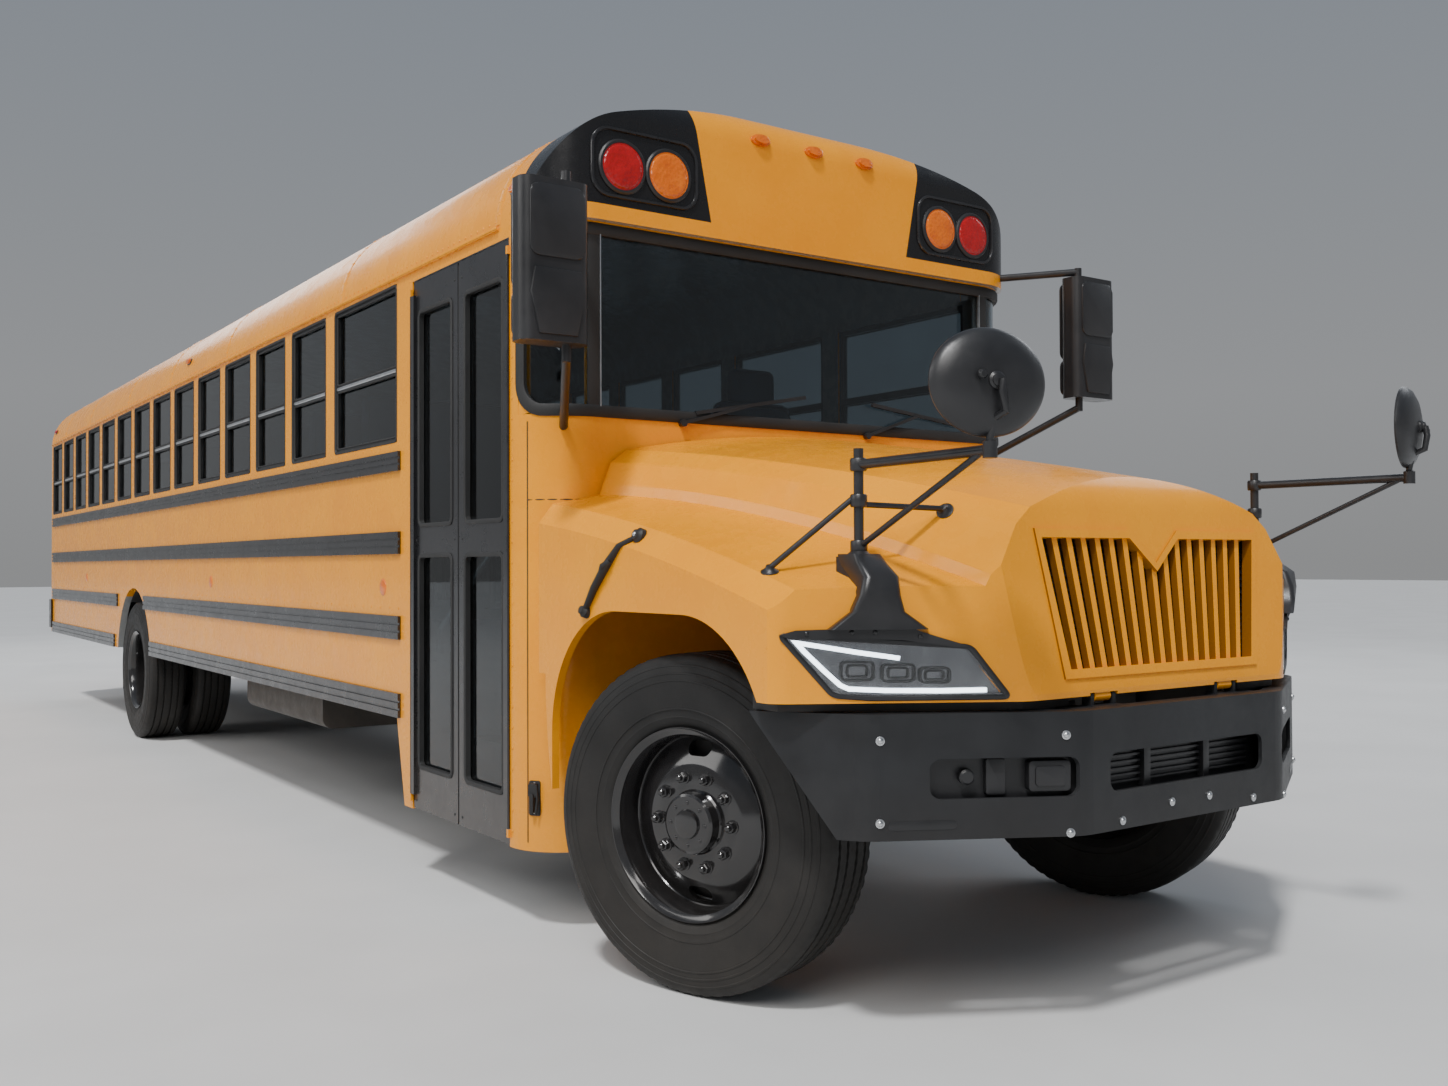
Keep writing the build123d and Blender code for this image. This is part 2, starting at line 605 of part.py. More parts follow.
with BuildPart() as hatch_frames:
    for y in HATCHES:
        block(
            -HATCH - HATCH_RING, HATCH + HATCH_RING, y - HATCH - HATCH_RING, y + HATCH + HATCH_RING,
            ROOF_TOP - 75, ROOF_TOP + HATCH_UP,
        )
    for y in HATCHES:
        block(-HATCH, HATCH, y - HATCH, y + HATCH, ROOF_TOP - 80, ROOF_TOP + 60, mode=Mode.SUBTRACT)
    for y in HATCHES:
        for s in (-1, 1):
            inner = s * (HATCH_BARREL + LUG_GAP)
            outer = s * (HATCH_BARREL + LUG_H)
            ring = y - HATCH - HATCH_RING
            ahead = y - HATCH_HINGE - 8
            block(inner, outer, ahead, ring + 1, ROOF_TOP + 5, ROOF_TOP + HATCH_UP)
            block(inner, outer, ahead, ahead + 13, ROOF_TOP + 5, HATCH_AXIS_Z + HATCH_BARREL_R)
hatch_frames.part.label = "hatch_frames"
export_step(hatch_frames.part, "parts/hatch_frames.step")


def hatch_lid(y):
    """A shallow dished lid with rounded corners, just above its ring, and its hinge barrel ahead."""
    edge = HATCH + HATCH_RING + 10
    with BuildPart() as lid:
        with BuildSketch(Plane.XY.offset(HATCH_AXIS_Z)):
            with Locations((0, y)):
                RectangleRounded(2 * edge, 2 * edge, 60)
        extrude(amount=HATCH_LID, taper=30)
        axis_y = y - HATCH_HINGE
        tube((-HATCH_BARREL, axis_y, HATCH_AXIS_Z), (HATCH_BARREL, axis_y, HATCH_AXIS_Z), HATCH_BARREL_R)
        block(-HATCH_BARREL, HATCH_BARREL, axis_y, y - edge + 8, HATCH_AXIS_Z, HATCH_AXIS_Z + 5)
    return lid.part


with BuildPart() as hatch_lid_front:
    add(hatch_lid(HATCHES[0]))
hatch_lid_front.part.label = "hatch_lid_front"
export_step(hatch_lid_front.part, "parts/hatch_lid_front.step")

with BuildPart() as hatch_lid_rear:
    add(hatch_lid(HATCHES[1]))
hatch_lid_rear.part.label = "hatch_lid_rear"
export_step(hatch_lid_rear.part, "parts/hatch_lid_rear.step")

EXIT_HALF = 470.0
EXIT_FOOT = 1005.0
EXIT_TOP = 2480.0
EXIT_AXIS_Y = TAIL + 10
EXIT_BARREL_R = 8.0
EXIT_HINGES = (1250.0, 2150.0)
EXIT_HINGE_H = 120.0
REAR_PANE = (560.0, 1080.0, SILL_Z, 2420.0)
with BuildPart() as rear_wall:
    with BuildSketch(across(TAIL)):
        body_outline(0, SKIRT_Z)
    extrude(amount=WALL)
    block(-EXIT_HALF, EXIT_HALF, REAR_END - 1, TAIL + 1, EXIT_FOOT, EXIT_TOP, mode=Mode.SUBTRACT)
    for s in (-1, 1):
        block(
            s * REAR_PANE[0], s * REAR_PANE[1], REAR_END - 1, TAIL + 1,
            REAR_PANE[2], REAR_PANE[3], mode=Mode.SUBTRACT,
        )
    for z in EXIT_HINGES:
        for low in (z - LUG_GAP - LUG_H, z + EXIT_HINGE_H + LUG_GAP):
            block(
                -EXIT_HALF - 30, -EXIT_HALF + 6, TAIL, EXIT_AXIS_Y + EXIT_BARREL_R,
                low, low + LUG_H,
            )
rear_wall.part.label = "rear_wall"
export_step(rear_wall.part, "parts/rear_wall.step")

# Side window sashes and panes
LEFT_ROW = [(DRIVER_FRONT, DRIVER_W)] + ROW


def sash_faces(row, driver):
    """Frames with a middle bar, one in each opening of a wall."""
    for i, (y, w) in enumerate(row):
        low = DRIVER_WINDOW_Z if driver and i == 0 else SILL_Z
        patch(y, y + w, low, WINDOW_TOP)
        patch(y + SASH, y + w - SASH, low + SASH, SASH_BAR_Z - 18, mode=Mode.SUBTRACT)
        patch(y + SASH, y + w - SASH, SASH_BAR_Z + 18, WINDOW_TOP - SASH, mode=Mode.SUBTRACT)


def pane_faces(row, driver):
    """Two panes in each sash."""
    for i, (y, w) in enumerate(row):
        low = DRIVER_WINDOW_Z if driver and i == 0 else SILL_Z
        patch(y + SASH, y + w - SASH, low + SASH, SASH_BAR_Z - 18)
        patch(y + SASH, y + w - SASH, SASH_BAR_Z + 18, WINDOW_TOP - SASH)


SASH_OUT = HALF_W - 8
with BuildPart() as window_sashes:
    with BuildSketch(side(-SASH_OUT)):
        sash_faces(ROW, False)
    extrude(amount=SASH_DEPTH)
    with BuildSketch(side(SASH_OUT - SASH_DEPTH)):
        sash_faces(LEFT_ROW, True)
    extrude(amount=SASH_DEPTH)
window_sashes.part.label = "window_sashes"
export_step(window_sashes.part, "parts/window_sashes.step")

with BuildPart() as window_glass:
    with BuildSketch(side(-SASH_OUT + SASH_DEPTH / 2)):
        pane_faces(ROW, False)
    extrude(amount=GLASS)
    with BuildSketch(side(SASH_OUT - SASH_DEPTH / 2 - GLASS)):
        pane_faces(LEFT_ROW, True)
    extrude(amount=GLASS)
    for s in (-1, 1):
        block(s * REAR_PANE[0], s * REAR_PANE[1], TAIL - 20, TAIL - 20 + GLASS, REAR_PANE[2], REAR_PANE[3])
window_glass.part.label = "window_glass"
export_step(window_glass.part, "parts/window_glass.step")

# Rub rails: two grooves each, broken at the entrance and the wheel arches
RAIL_OUT = 14.0
RUB_RAILS = (
    # low z, high z, gap ahead of and behind the rear axle
    (1737.0, 1821.0, 0.0, 0.0),
    (1376.0, 1473.0, 0.0, 0.0),
    (1006.0, 1107.0, 400.0, 600.0),
    (SKIRT_Z, 773.0, 610.0, 720.0),
)
RAIL_START = {-1: DOOR_REAR + 135, 1: DOOR_FRONT + 20}
RAIL_STOP = REAR_END - 70
with BuildPart() as rub_rails:
    for low, high, ahead, behind in RUB_RAILS:
        for s in (-1, 1):
            pieces = [(RAIL_START[s], RAIL_STOP)]
            if ahead:
                pieces = [(RAIL_START[s], AXLE_R - ahead), (AXLE_R + behind, RAIL_STOP)]
            for y0, y1 in pieces:
                with BuildSketch(across(y1)):
                    patch(s * HALF_W, s * (HALF_W + RAIL_OUT), low, high)
                    for z in (low + (high - low) * 0.34, low + (high - low) * 0.66):
                        patch(s * (HALF_W + RAIL_OUT), s * (HALF_W + 7), z - 5, z + 5, mode=Mode.SUBTRACT)
                extrude(amount=y1 - y0)
rub_rails.part.label = "rub_rails"
export_step(rub_rails.part, "parts/rub_rails.step")

# Seats: a bench each side of the aisle in every row
AISLE = 190.0
BENCH_W = INSIDE - AISLE
ROWS = 12
ROW_1 = at(2250)
ROW_PITCH = (REAR_END - 700 - ROW_1) / (ROWS - 1)
with BuildPart() as seats:
    for i in range(ROWS):
        y = ROW_1 + i * ROW_PITCH
        for s in (-1, 1):
            block(s * AISLE, s * INSIDE, y, y + 390, FLOOR_TOP + 330, FLOOR_TOP + 440)
            block(s * AISLE, s * (INSIDE - 30), y + 390, y + 470, FLOOR_TOP + 330, FLOOR_TOP + 1050)
            block(s * (AISLE + 60), s * (AISLE + 100), y + 60, y + 400, FLOOR_TOP, FLOOR_TOP + 330)
seats.part.label = "seats"
export_step(seats.part, "parts/seats.step")

SEAT_X = INSIDE - 529.0
SEAT_Y = at(1480)
with BuildPart() as driver_seat:
    block(SEAT_X - 200, SEAT_X + 200, SEAT_Y, SEAT_Y + 420, FLOOR_TOP, FLOOR_TOP + 60)
    block(SEAT_X - 90, SEAT_X + 90, SEAT_Y + 100, SEAT_Y + 320, FLOOR_TOP + 60, FLOOR_TOP + 300)
    block(SEAT_X - 240, SEAT_X + 240, SEAT_Y - 20, SEAT_Y + 430, FLOOR_TOP + 300, FLOOR_TOP + 430)
    block(SEAT_X - 230, SEAT_X + 230, SEAT_Y + 430, SEAT_Y + 540, FLOOR_TOP + 330, FLOOR_TOP + 1050)
    block(SEAT_X - 130, SEAT_X + 130, SEAT_Y + 440, SEAT_Y + 530, FLOOR_TOP + 1050, FLOOR_TOP + 1230)
driver_seat.part.label = "driver_seat"
export_step(driver_seat.part, "parts/driver_seat.step")

# Dashboard and steering wheel
DASH_REAR = FLOOR_FRONT + 260
WHEEL_R = 230.0
COLUMN_TILT = 35.0
COLUMN_FOOT = Vector(SEAT_X, DASH_REAR, 1560.0)
COLUMN_DIR = Vector(0, math.cos(math.radians(COLUMN_TILT)), math.sin(math.radians(COLUMN_TILT)))
COLUMN_GAP = 30.0  # boss on the dashboard, below the turning column
with BuildPart() as dashboard:
    with BuildSketch(side(-STEP_IN)):
        Polygon(
            (FLOOR_FRONT, 1350), (DASH_REAR, 1450), (DASH_REAR, 1680), (FLOOR_FRONT, 1800), align=None,
        )
    extrude(amount=STEP_IN + INSIDE)
    with BuildSketch(Plane.XY.offset(DOOR_FOOT)):
        body_plan(WALL, at(BODY_FRONT), DASH_REAR + 100)
    extrude(amount=GUTTER_Z - DOOR_FOOT, mode=Mode.INTERSECT)
    tube(tuple(COLUMN_FOOT - COLUMN_DIR * 60), tuple(COLUMN_FOOT + COLUMN_DIR * (COLUMN_GAP - FIT)), 30.0)
dashboard.part.label = "dashboard"
export_step(dashboard.part, "parts/dashboard.step")

COLUMN_TOP = COLUMN_FOOT + COLUMN_DIR * 190
RIM_PLANE = Plane(origin=COLUMN_TOP, x_dir=(1, 0, 0), z_dir=COLUMN_DIR)
with BuildPart() as steering_wheel:
    tube(tuple(COLUMN_FOOT + COLUMN_DIR * COLUMN_GAP), tuple(COLUMN_TOP), 22.0)
    with BuildSketch(RIM_PLANE.offset(-12)):
        Circle(WHEEL_R)
        Circle(WHEEL_R - 26, mode=Mode.SUBTRACT)
        for turn in (90, 210, 330):
            with PolarLocations(WHEEL_R / 2, 1, start_angle=turn):
                Rectangle(WHEEL_R - 10, 34)
        Circle(60)
    extrude(amount=26)
steering_wheel.part.label = "steering_wheel"
export_step(steering_wheel.part, "parts/steering_wheel.step")

# Hood and fenders
HOOD_STATIONS = (
    # distance behind the front axle, crown z, shoulder and crease (in from the body's side, z), fender top z
    (720.0, 1838.0, 299.0, 1742.0, 234.0, 1606.0, 1542.0),
    (-300.0, 1688.0, 484.0, 1612.0, 389.0, 1468.0, 1359.0),
    (-1050.0, 1555.0, 674.0, 1450.0, 539.0, 1250.0, 1130.0),
)
HOOD_BASE = 400.0


NOSE_HALF = HALF_W - 619.0


def hood_sections(inset):
    """Solid under the hood's skin: crowned top, bevelled shoulders and fender tops."""
    with BuildPart() as solid:
        for d, crown, shoulder, shoulder_z, crease, crease_z, fender_z in HOOD_STATIONS:
            sx = HALF_W - shoulder - inset
            sz = shoulder_z - inset
            cx = HALF_W - crease - inset
            cz = crease_z - inset
            fx = FENDER_X - inset
            fz = fender_z - inset
            right = [
                (fx, HOOD_BASE), (fx, fz - 70), (fx - 55, fz), (cx, cz - 25), (cx - 12, cz + 10),
                (sx + 20, sz - 42), (sx - 45, sz + 6),
            ]
            left = [(-x, z) for x, z in reversed(right)]
            with BuildSketch(across(at(d))):
                with BuildLine():
                    Polyline(*right)
                    ThreePointArc(right[-1], (0, crown - inset), left[0])
                    Polyline(*left, right[0])
                make_face()
        loft()
    return solid.part


def hood_plan(inset):
    """Upright prism of the hood seen from above, its rear edge following the front wall."""
    with BuildPart() as prism:
        with BuildSketch(Plane.XY.offset(HOOD_BASE)):
            with BuildLine():
                right = [
                    (HALF_W - inset, at(760)),
                    (HALF_W - inset, at(-632) + inset * 0.6),
                    (NOSE_HALF - inset * 0.25, at(-1004) + inset),
                ]
                left = [(-x, y) for x, y in right]
                bend = FilletPolyline(*left, *reversed(right), radius=120)
                Line(bend @ 1, bend @ 0)
            make_face()
        extrude(amount=1600)
    return prism.part


def hood_profile(inset):
    """Prism across the bus of the hood seen from the side: leaning grille face and round brow."""
    foot = NOSE_Y - (NOSE_Z - HOOD_BASE) * NOSE_LEAN
    head = NOSE_Y + (1590 - NOSE_Z) * NOSE_LEAN
    with BuildPart() as prism:
        with BuildSketch(side(-HALF_W)):
            with BuildLine():
                corners = [
                    (at(900), 1905 - inset), (at(head) + inset, 1590 - inset), (at(foot) + inset, HOOD_BASE),
                ]
                bend = FilletPolyline(*corners, radius=150)
                Polyline(bend @ 1, (at(900), HOOD_BASE), bend @ 0)
            make_face()
        extrude(amount=BODY_W)
    return prism.part


def hood_block(inset):
    """The hood's solid form, drawn in by inset on every side."""
    with BuildPart() as form:
        add(hood_sections(inset))
        add(hood_plan(inset), mode=Mode.INTERSECT)
        add(hood_profile(inset), mode=Mode.INTERSECT)
    return form.part


LAMP_OUTLINE = (
    # in from the body's side, z
    (478.0, 1098.0),
    (569.0, 962.0),
    (244.0, 962.0),
    (157.0, 970.0),
    (34.0, 1132.0),
)


def lamp_zone():
    """Prisms that mark off the headlamps from the rest of the front."""
    with BuildPart() as zone:
        with BuildSketch(across(at(-560))):
            for s in (-1, 1):
                Polygon(*((s * (HALF_W - x), z) for x, z in LAMP_OUTLINE), align=None)
        extrude(amount=540)
    return zone.part


GRILLE_PLANE = Plane(origin=(0, at(NOSE_Y), NOSE_Z), x_dir=(1, 0, 0), z_dir=(0, -1, NOSE_LEAN))


def grille_face(inset, mode=Mode.ADD):
    """The grille's outline, with a notch in its upper edge, drawn in by inset."""
    top = GRILLE_H - inset
    Polygon(
        (-GRILLE_FOOT + inset, inset), (GRILLE_FOOT - inset, inset), (GRILLE_HEAD - inset, top),
        (NOTCH_HALF, top), (0, top - NOTCH_DEPTH), (-NOTCH_HALF, top), (-GRILLE_HEAD + inset, top),
        align=None, mode=mode,
    )


HOOD_OUTER = hood_block(0)
HOOD_INNER = hood_block(HOOD_T)
POST_X = HALF_W - 282.0
POST_Y = -690.0
POD = 45.0
POD_TOP = 1345.0
SWING_R = BODY_FRONT - 2 * HOOD_GAP - HINGE_Y
with BuildPart() as hood_shell:
    add(HOOD_OUTER)
    add(HOOD_INNER, mode=Mode.SUBTRACT)
    block(-BODY_W, BODY_W, at(-1100), at(900), HOOD_BASE - 10, 500, mode=Mode.SUBTRACT)
    block(-BODY_W, BODY_W, at(-1100), at(-FENDER_HALF + 60), 490, HOOD_FOOT, mode=Mode.SUBTRACT)
    block(-1100, 1100, at(-1100), at(900), 490, HOOD_FOOT, mode=Mode.SUBTRACT)
    with BuildSketch(side(-1300)):
        with Locations((AXLE_F, FENDER_Z - 700)):
            RectangleRounded(2 * FENDER_HALF, 1400, FENDER_R)
    extrude(amount=2600, mode=Mode.SUBTRACT)
    with BuildSketch(Plane.XY.offset(HOOD_BASE - 20)):
        body_plan(-HOOD_GAP, at(BODY_FRONT), at(1000))
    extrude(amount=1700, mode=Mode.SUBTRACT)
    with BuildSketch(side(-1300)):
        patch(at(500), at(900), HOOD_BASE - 30, HINGE_Z)
        with Locations((at(HINGE_Y), HINGE_Z)):
            Circle(SWING_R, mode=Mode.SUBTRACT)
    extrude(amount=2600, mode=Mode.SUBTRACT)
    with BuildSketch(GRILLE_PLANE.offset(60)):
        grille_face(0)
    extrude(amount=-200, mode=Mode.SUBTRACT)
    add(lamp_zone(), mode=Mode.SUBTRACT)
    for s in (-1, 1):
        block(
            s * (POST_X - POD), s * (POST_X + POD), at(POST_Y) - POD, at(POST_Y) + POD,
            POD_Z, POD_TOP, mode=Mode.SUBTRACT,
        )
        tube(
            (s * (EAR_X - 60), at(HINGE_Y), HINGE_Z), (s * (EAR_X + 60), at(HINGE_Y), HINGE_Z),
            HINGE_R + 6, mode=Mode.SUBTRACT,
        )
        tube((s * (EAR_X - 34), at(HINGE_Y), HINGE_Z), (s * (EAR_X + 34), at(HINGE_Y), HINGE_Z), HINGE_R)
        block(s * (EAR_X - 34), s * (EAR_X + 34), at(HINGE_Y) - 14, at(HINGE_Y) + 14, HINGE_Z, HINGE_Z + 40)
        tube(
            (s * (EAR_X - 40), at(HINGE_Y), HINGE_Z), (s * (EAR_X + 40), at(HINGE_Y), HINGE_Z),
            PIVOT_R + FIT, mode=Mode.SUBTRACT,
        )
hood_shell.part.label = "hood_shell"
export_step(hood_shell.part, "parts/hood_shell.step")

# Headlamps fill the shell's cut-outs
with BuildPart() as headlamps:
    add(HOOD_OUTER)
    add(HOOD_INNER, mode=Mode.SUBTRACT)
    add(lamp_zone(), mode=Mode.INTERSECT)
headlamps.part.label = "headlamps"
export_step(headlamps.part, "parts/headlamps.step")

# Grille: the piece with the most work in it, a leaning frame with a notch and upright slats
GRILLE_FRAME = 26.0
SLAT_W = 22.0
SLAT_PITCH = 2 * (GRILLE_FOOT - GRILLE_FRAME) / (SLATS + 1)
with BuildPart() as grille:
    with BuildSketch(GRILLE_PLANE.offset(-HOOD_T)):
        grille_face(0)
        grille_face(GRILLE_FRAME, mode=Mode.SUBTRACT)
    extrude(amount=HOOD_T + 6)
    for i in range(SLATS):
        k = (i + 1) / (SLATS + 1) * 2 - 1
        foot = k * (GRILLE_FOOT - GRILLE_FRAME)
        head = k * (GRILLE_HEAD - GRILLE_FRAME)
        with BuildSketch(GRILLE_PLANE.offset(-HOOD_T)):
            Polygon(
                (foot - SLAT_W / 2, 10), (foot + SLAT_W / 2, 10),
                (head + SLAT_W / 2, GRILLE_H - 10), (head - SLAT_W / 2, GRILLE_H - 10), align=None,
            )
        extrude(amount=HOOD_T - 6)
    with BuildSketch(GRILLE_PLANE.offset(-HOOD_T - 10)):
        grille_face(0)
    extrude(amount=60, mode=Mode.INTERSECT)
grille.part.label = "grille"
export_step(grille.part, "parts/grille.step")

# Hood mirrors: an upright post on each fender pod, an arm ahead and an oval head facing the driver
MIRROR_R = 140.0
MIRROR_T = 70.0
MIRROR_FACE = (0.30, 0.954)  # across and rearward parts of the way it faces
MIRROR_X = HALF_W - 239.0
MIRROR_Y = at(-FRONT_REACH) + MIRROR_R * MIRROR_FACE[0] + MIRROR_T / 2 * MIRROR_FACE[1]
MIRROR_Z = 1765.0
POST_R = 14.0
ARM_Z = 1600.0
with BuildPart() as mirror_posts:
    for s in (-1, 1):
        block(
            s * (POST_X - POD), s * (POST_X + POD), at(POST_Y) - POD, at(POST_Y) + POD,
            POD_Z, POD_TOP,
        )
        tube((s * POST_X, at(POST_Y), POD_TOP), (s * POST_X, at(POST_Y), ARM_Z + 45), POST_R)
        tube((s * POST_X, at(POST_Y), ARM_Z), (s * MIRROR_X, MIRROR_Y, ARM_Z), POST_R)
        tube((s * MIRROR_X, MIRROR_Y, ARM_Z - 14), (s * MIRROR_X, MIRROR_Y, MIRROR_Z - MIRROR_R - 10), POST_R)
mirror_posts.part.label = "mirror_posts"
export_step(mirror_posts.part, "parts/mirror_posts.step")

with BuildPart() as hood_mirrors:
    for s in (-1, 1):
        face = Vector(-s * MIRROR_FACE[0], MIRROR_FACE[1], 0)
        middle = Vector(s * MIRROR_X, MIRROR_Y, MIRROR_Z)
        with BuildSketch(Plane(origin=middle - face * (MIRROR_T / 2), z_dir=face)):
            Circle(MIRROR_R)
        extrude(amount=MIRROR_T)
        block(
            s * MIRROR_X - 12, s * MIRROR_X + 12, MIRROR_Y - 12, MIRROR_Y + 12,
            MIRROR_Z - MIRROR_R - 10, MIRROR_Z - MIRROR_R + 30,
        )
hood_mirrors.part.label = "hood_mirrors"
export_step(hood_mirrors.part, "parts/hood_mirrors.step")

# Rear-view mirrors hung from the body's front corners
VIEW_X = HALF_W + 116.0
VIEW_Y = at(380)
VIEW_LOW = 2050.0
VIEW_HIGH = 2580.0
with BuildPart() as body_mirrors:
    for s in (-1, 1):
        with BuildSketch(Plane.XY.offset(VIEW_LOW)):
            with Locations((s * VIEW_X, VIEW_Y)):
                RectangleRounded(250, 110, 40)
        extrude(amount=VIEW_HIGH - VIEW_LOW)
        tube((s * (VIEW_X - 60), VIEW_Y, VIEW_HIGH + 30), (s * 1120, at(CAP_FRONT) + 40, VIEW_HIGH + 40), 16.0)
        tube((s * (VIEW_X - 60), VIEW_Y, VIEW_HIGH - 10), (s * (VIEW_X - 60), VIEW_Y, VIEW_HIGH + 46), 16.0)
        tube((s * (VIEW_X - 60), VIEW_Y, VIEW_LOW - 40), (s * 1100, at(BODY_FRONT) + 40, VIEW_LOW - 230), 16.0)
        tube((s * (VIEW_X - 60), VIEW_Y, VIEW_LOW - 56), (s * (VIEW_X - 60), VIEW_Y, VIEW_LOW + 10), 16.0)
    with BuildSketch(Plane.XY.offset(GUTTER_Z)):
        body_plan(-CAP_LIP - FIT, at(CAP_FRONT) + CAP_LIP, at(CAP_REAR))
    extrude(amount=500, mode=Mode.SUBTRACT)
    with BuildSketch(Plane.XY.offset(DOOR_FOOT)):
        body_plan(0, at(BODY_FRONT), at(CAP_REAR))
    extrude(amount=GUTTER_Z - DOOR_FOOT, mode=Mode.SUBTRACT)
body_mirrors.part.label = "body_mirrors"
export_step(body_mirrors.part, "parts/body_mirrors.step")

# Lamps
LENS_R = 89.0
LENS_T = 14.0
WARNING_Z = 2775.0
RED_X = HALF_W - 322.0
AMBER_X = HALF_W - 521.0
CAP_Y = at(CAP_FRONT)
RED_LAMPS = (
    # x z radius, on the rear wall
    (900.0, 2700.0, LENS_R),
    (1080.0, 1560.0, 90.0),
    (1080.0, 1300.0, 50.0),
    (300.0, 3000.0, 30.0),
    (0.0, 3000.0, 30.0),
)
with BuildPart() as red_lamps:
    for s in (-1, 1):
        tube((s * RED_X, CAP_Y, WARNING_Z), (s * RED_X, CAP_Y - LENS_T, WARNING_Z), LENS_R)
        for x, z, radius in RED_LAMPS:
            if x or s > 0:
                tube((s * x, TAIL, z), (s * x, TAIL + LENS_T, z), radius)
red_lamps.part.label = "red_lamps"
export_step(red_lamps.part, "parts/red_lamps.step")

CLEARANCE_XS = (-268.0, 0.0, 268.0)
CLEARANCE_Z = 2980.0
with BuildPart() as amber_lamps:
    for s in (-1, 1):
        tube((s * AMBER_X, CAP_Y, WARNING_Z), (s * AMBER_X, CAP_Y - LENS_T, WARNING_Z), LENS_R)
        tube((s * AMBER_X, TAIL, 2740.0), (s * AMBER_X, TAIL + LENS_T, 2740.0), LENS_R)
        tube((s * 880.0, TAIL, 1300.0), (s * 880.0, TAIL + LENS_T, 1300.0), 50.0)
    for x in CLEARANCE_XS:
        tube((x, CAP_Y + BROW_R / 3, CLEARANCE_Z), (x, CAP_Y - LENS_T / 2, CLEARANCE_Z), 26.0)
    add(front_cap.part, mode=Mode.SUBTRACT)
amber_lamps.part.label = "amber_lamps"
export_step(amber_lamps.part, "parts/amber_lamps.step")

# Wipers rest at the foot of the windshield
WIPER_Z = WINDSHIELD_Z - 12
WIPERS = (
    # pivot x, blade's inner end x z, outer end x z
    (-620.0, -30.0, 1995.0, -560.0, 1900.0),
    (300.0, 850.0, 1930.0, 330.0, 1990.0),
)
with BuildPart() as wipers:
    for pivot, x0, z0, x1, z1 in WIPERS:
        face_y = at(BODY_FRONT)
        tube((pivot, face_y, WIPER_Z), (pivot, face_y - 22, WIPER_Z), 14.0)
        strut((pivot, face_y - 14, WIPER_Z), ((x0 + x1) / 2, face_y - 14, (z0 + z1) / 2), 12.0)
        strut((x0, face_y - 8, z0), (x1, face_y - 8, z1), 14.0)
wipers.part.label = "wipers"
export_step(wipers.part, "parts/wipers.step")

FLAP_Y = AXLE_R + TYRE_R + 130
with BuildPart() as mud_flaps:
    for s in (-1, 1):
        block(s * 600, s * INSIDE, FLAP_Y, FLAP_Y + 12, 330, FLOOR_TOP - FLOOR_T)
mud_flaps.part.label = "mud_flaps"
export_step(mud_flaps.part, "parts/mud_flaps.step")

# Entrance doors: two glazed leaves hinged at the outer posts
SEAM = 12.0
LEAF_W = (DOOR_W - 2 * GAP - SEAM) / 2
LEAF_X = HALF_W - 4
LEAF_LOW = DOOR_FOOT + GAP
LEAF_HIGH = DOOR_TOP - GAP
STILE = 55.0
LEAF_PANES = (
    # foot z, head z
    (480.0, 1370.0),
    (1490.0, 2395.0),
)
LEAF_STARTS = (DOOR_FRONT + GAP, DOOR_REAR - GAP - LEAF_W)


def leaf_frame(start, hinge, toward):
    """One leaf with its two openings and its hinge; toward is the way from the hinge to the leaf."""
    with BuildPart() as leaf:
        with BuildSketch(side(-LEAF_X)):
            patch(start, start + LEAF_W, LEAF_LOW, LEAF_HIGH)
            for low, high in LEAF_PANES:
                patch(start + STILE, start + LEAF_W - STILE, low, high, mode=Mode.SUBTRACT)
        extrude(amount=LEAF_T)
        x = -HALF_W - HINGE_OUT
        low = LEAF_LOW + BARREL_END
        high = LEAF_HIGH - BARREL_END
        tube((x, hinge, low), (x, hinge, high), BARREL_R)
        block(x - 4, 1 - LEAF_X, hinge, hinge + toward * 35, low, high)
    return leaf.part


def leaf_panes(start):
    """The leaf's two panes."""
    with BuildPart() as panes:
        with BuildSketch(side(-LEAF_X + LEAF_T / 2)):
            for low, high in LEAF_PANES:
                patch(start + STILE, start + LEAF_W - STILE, low, high)
        extrude(amount=GLASS)
    return panes.part


with BuildPart() as door_front_panel:
    add(leaf_frame(LEAF_STARTS[0], DOOR_FRONT, 1))
door_front_panel.part.label = "door_front_panel"
export_step(door_front_panel.part, "parts/door_front_panel.step")

with BuildPart() as door_front_glass:
    add(leaf_panes(LEAF_STARTS[0]))
door_front_glass.part.label = "door_front_glass"
export_step(door_front_glass.part, "parts/door_front_glass.step")

with BuildPart() as door_rear_panel:
    add(leaf_frame(LEAF_STARTS[1], DOOR_REAR, -1))
door_rear_panel.part.label = "door_rear_panel"
export_step(door_rear_panel.part, "parts/door_rear_panel.step")

with BuildPart() as door_rear_glass:
    add(leaf_panes(LEAF_STARTS[1]))
door_rear_glass.part.label = "door_rear_glass"
export_step(door_rear_glass.part, "parts/door_rear_glass.step")

# Emergency door in the rear wall
EXIT_PANES = (
    # half width, foot z, head z
    (330.0, 1620.0, 2380.0),
    (330.0, 1180.0, 1480.0),
)
with BuildPart() as rear_door_panel:
    with BuildSketch(across(TAIL - 2)):
        patch(GAP - EXIT_HALF, EXIT_HALF - 2 * GAP, EXIT_FOOT + GAP, EXIT_TOP - GAP)
        for half, low, high in EXIT_PANES:
            patch(-half, half, low, high, mode=Mode.SUBTRACT)
    extrude(amount=LEAF_T)
    block(EXIT_HALF - 110, EXIT_HALF - 80, TAIL - 2, TAIL + 40, 1500, 1530)
    block(EXIT_HALF - 110, EXIT_HALF - 80, TAIL + 25, TAIL + 40, 1380, 1530)
    for z in EXIT_HINGES:
        tube((-EXIT_HALF, EXIT_AXIS_Y, z), (-EXIT_HALF, EXIT_AXIS_Y, z + EXIT_HINGE_H), EXIT_BARREL_R)
        block(-EXIT_HALF, -EXIT_HALF + 45, TAIL - 3, EXIT_AXIS_Y + 2, z, z + EXIT_HINGE_H)
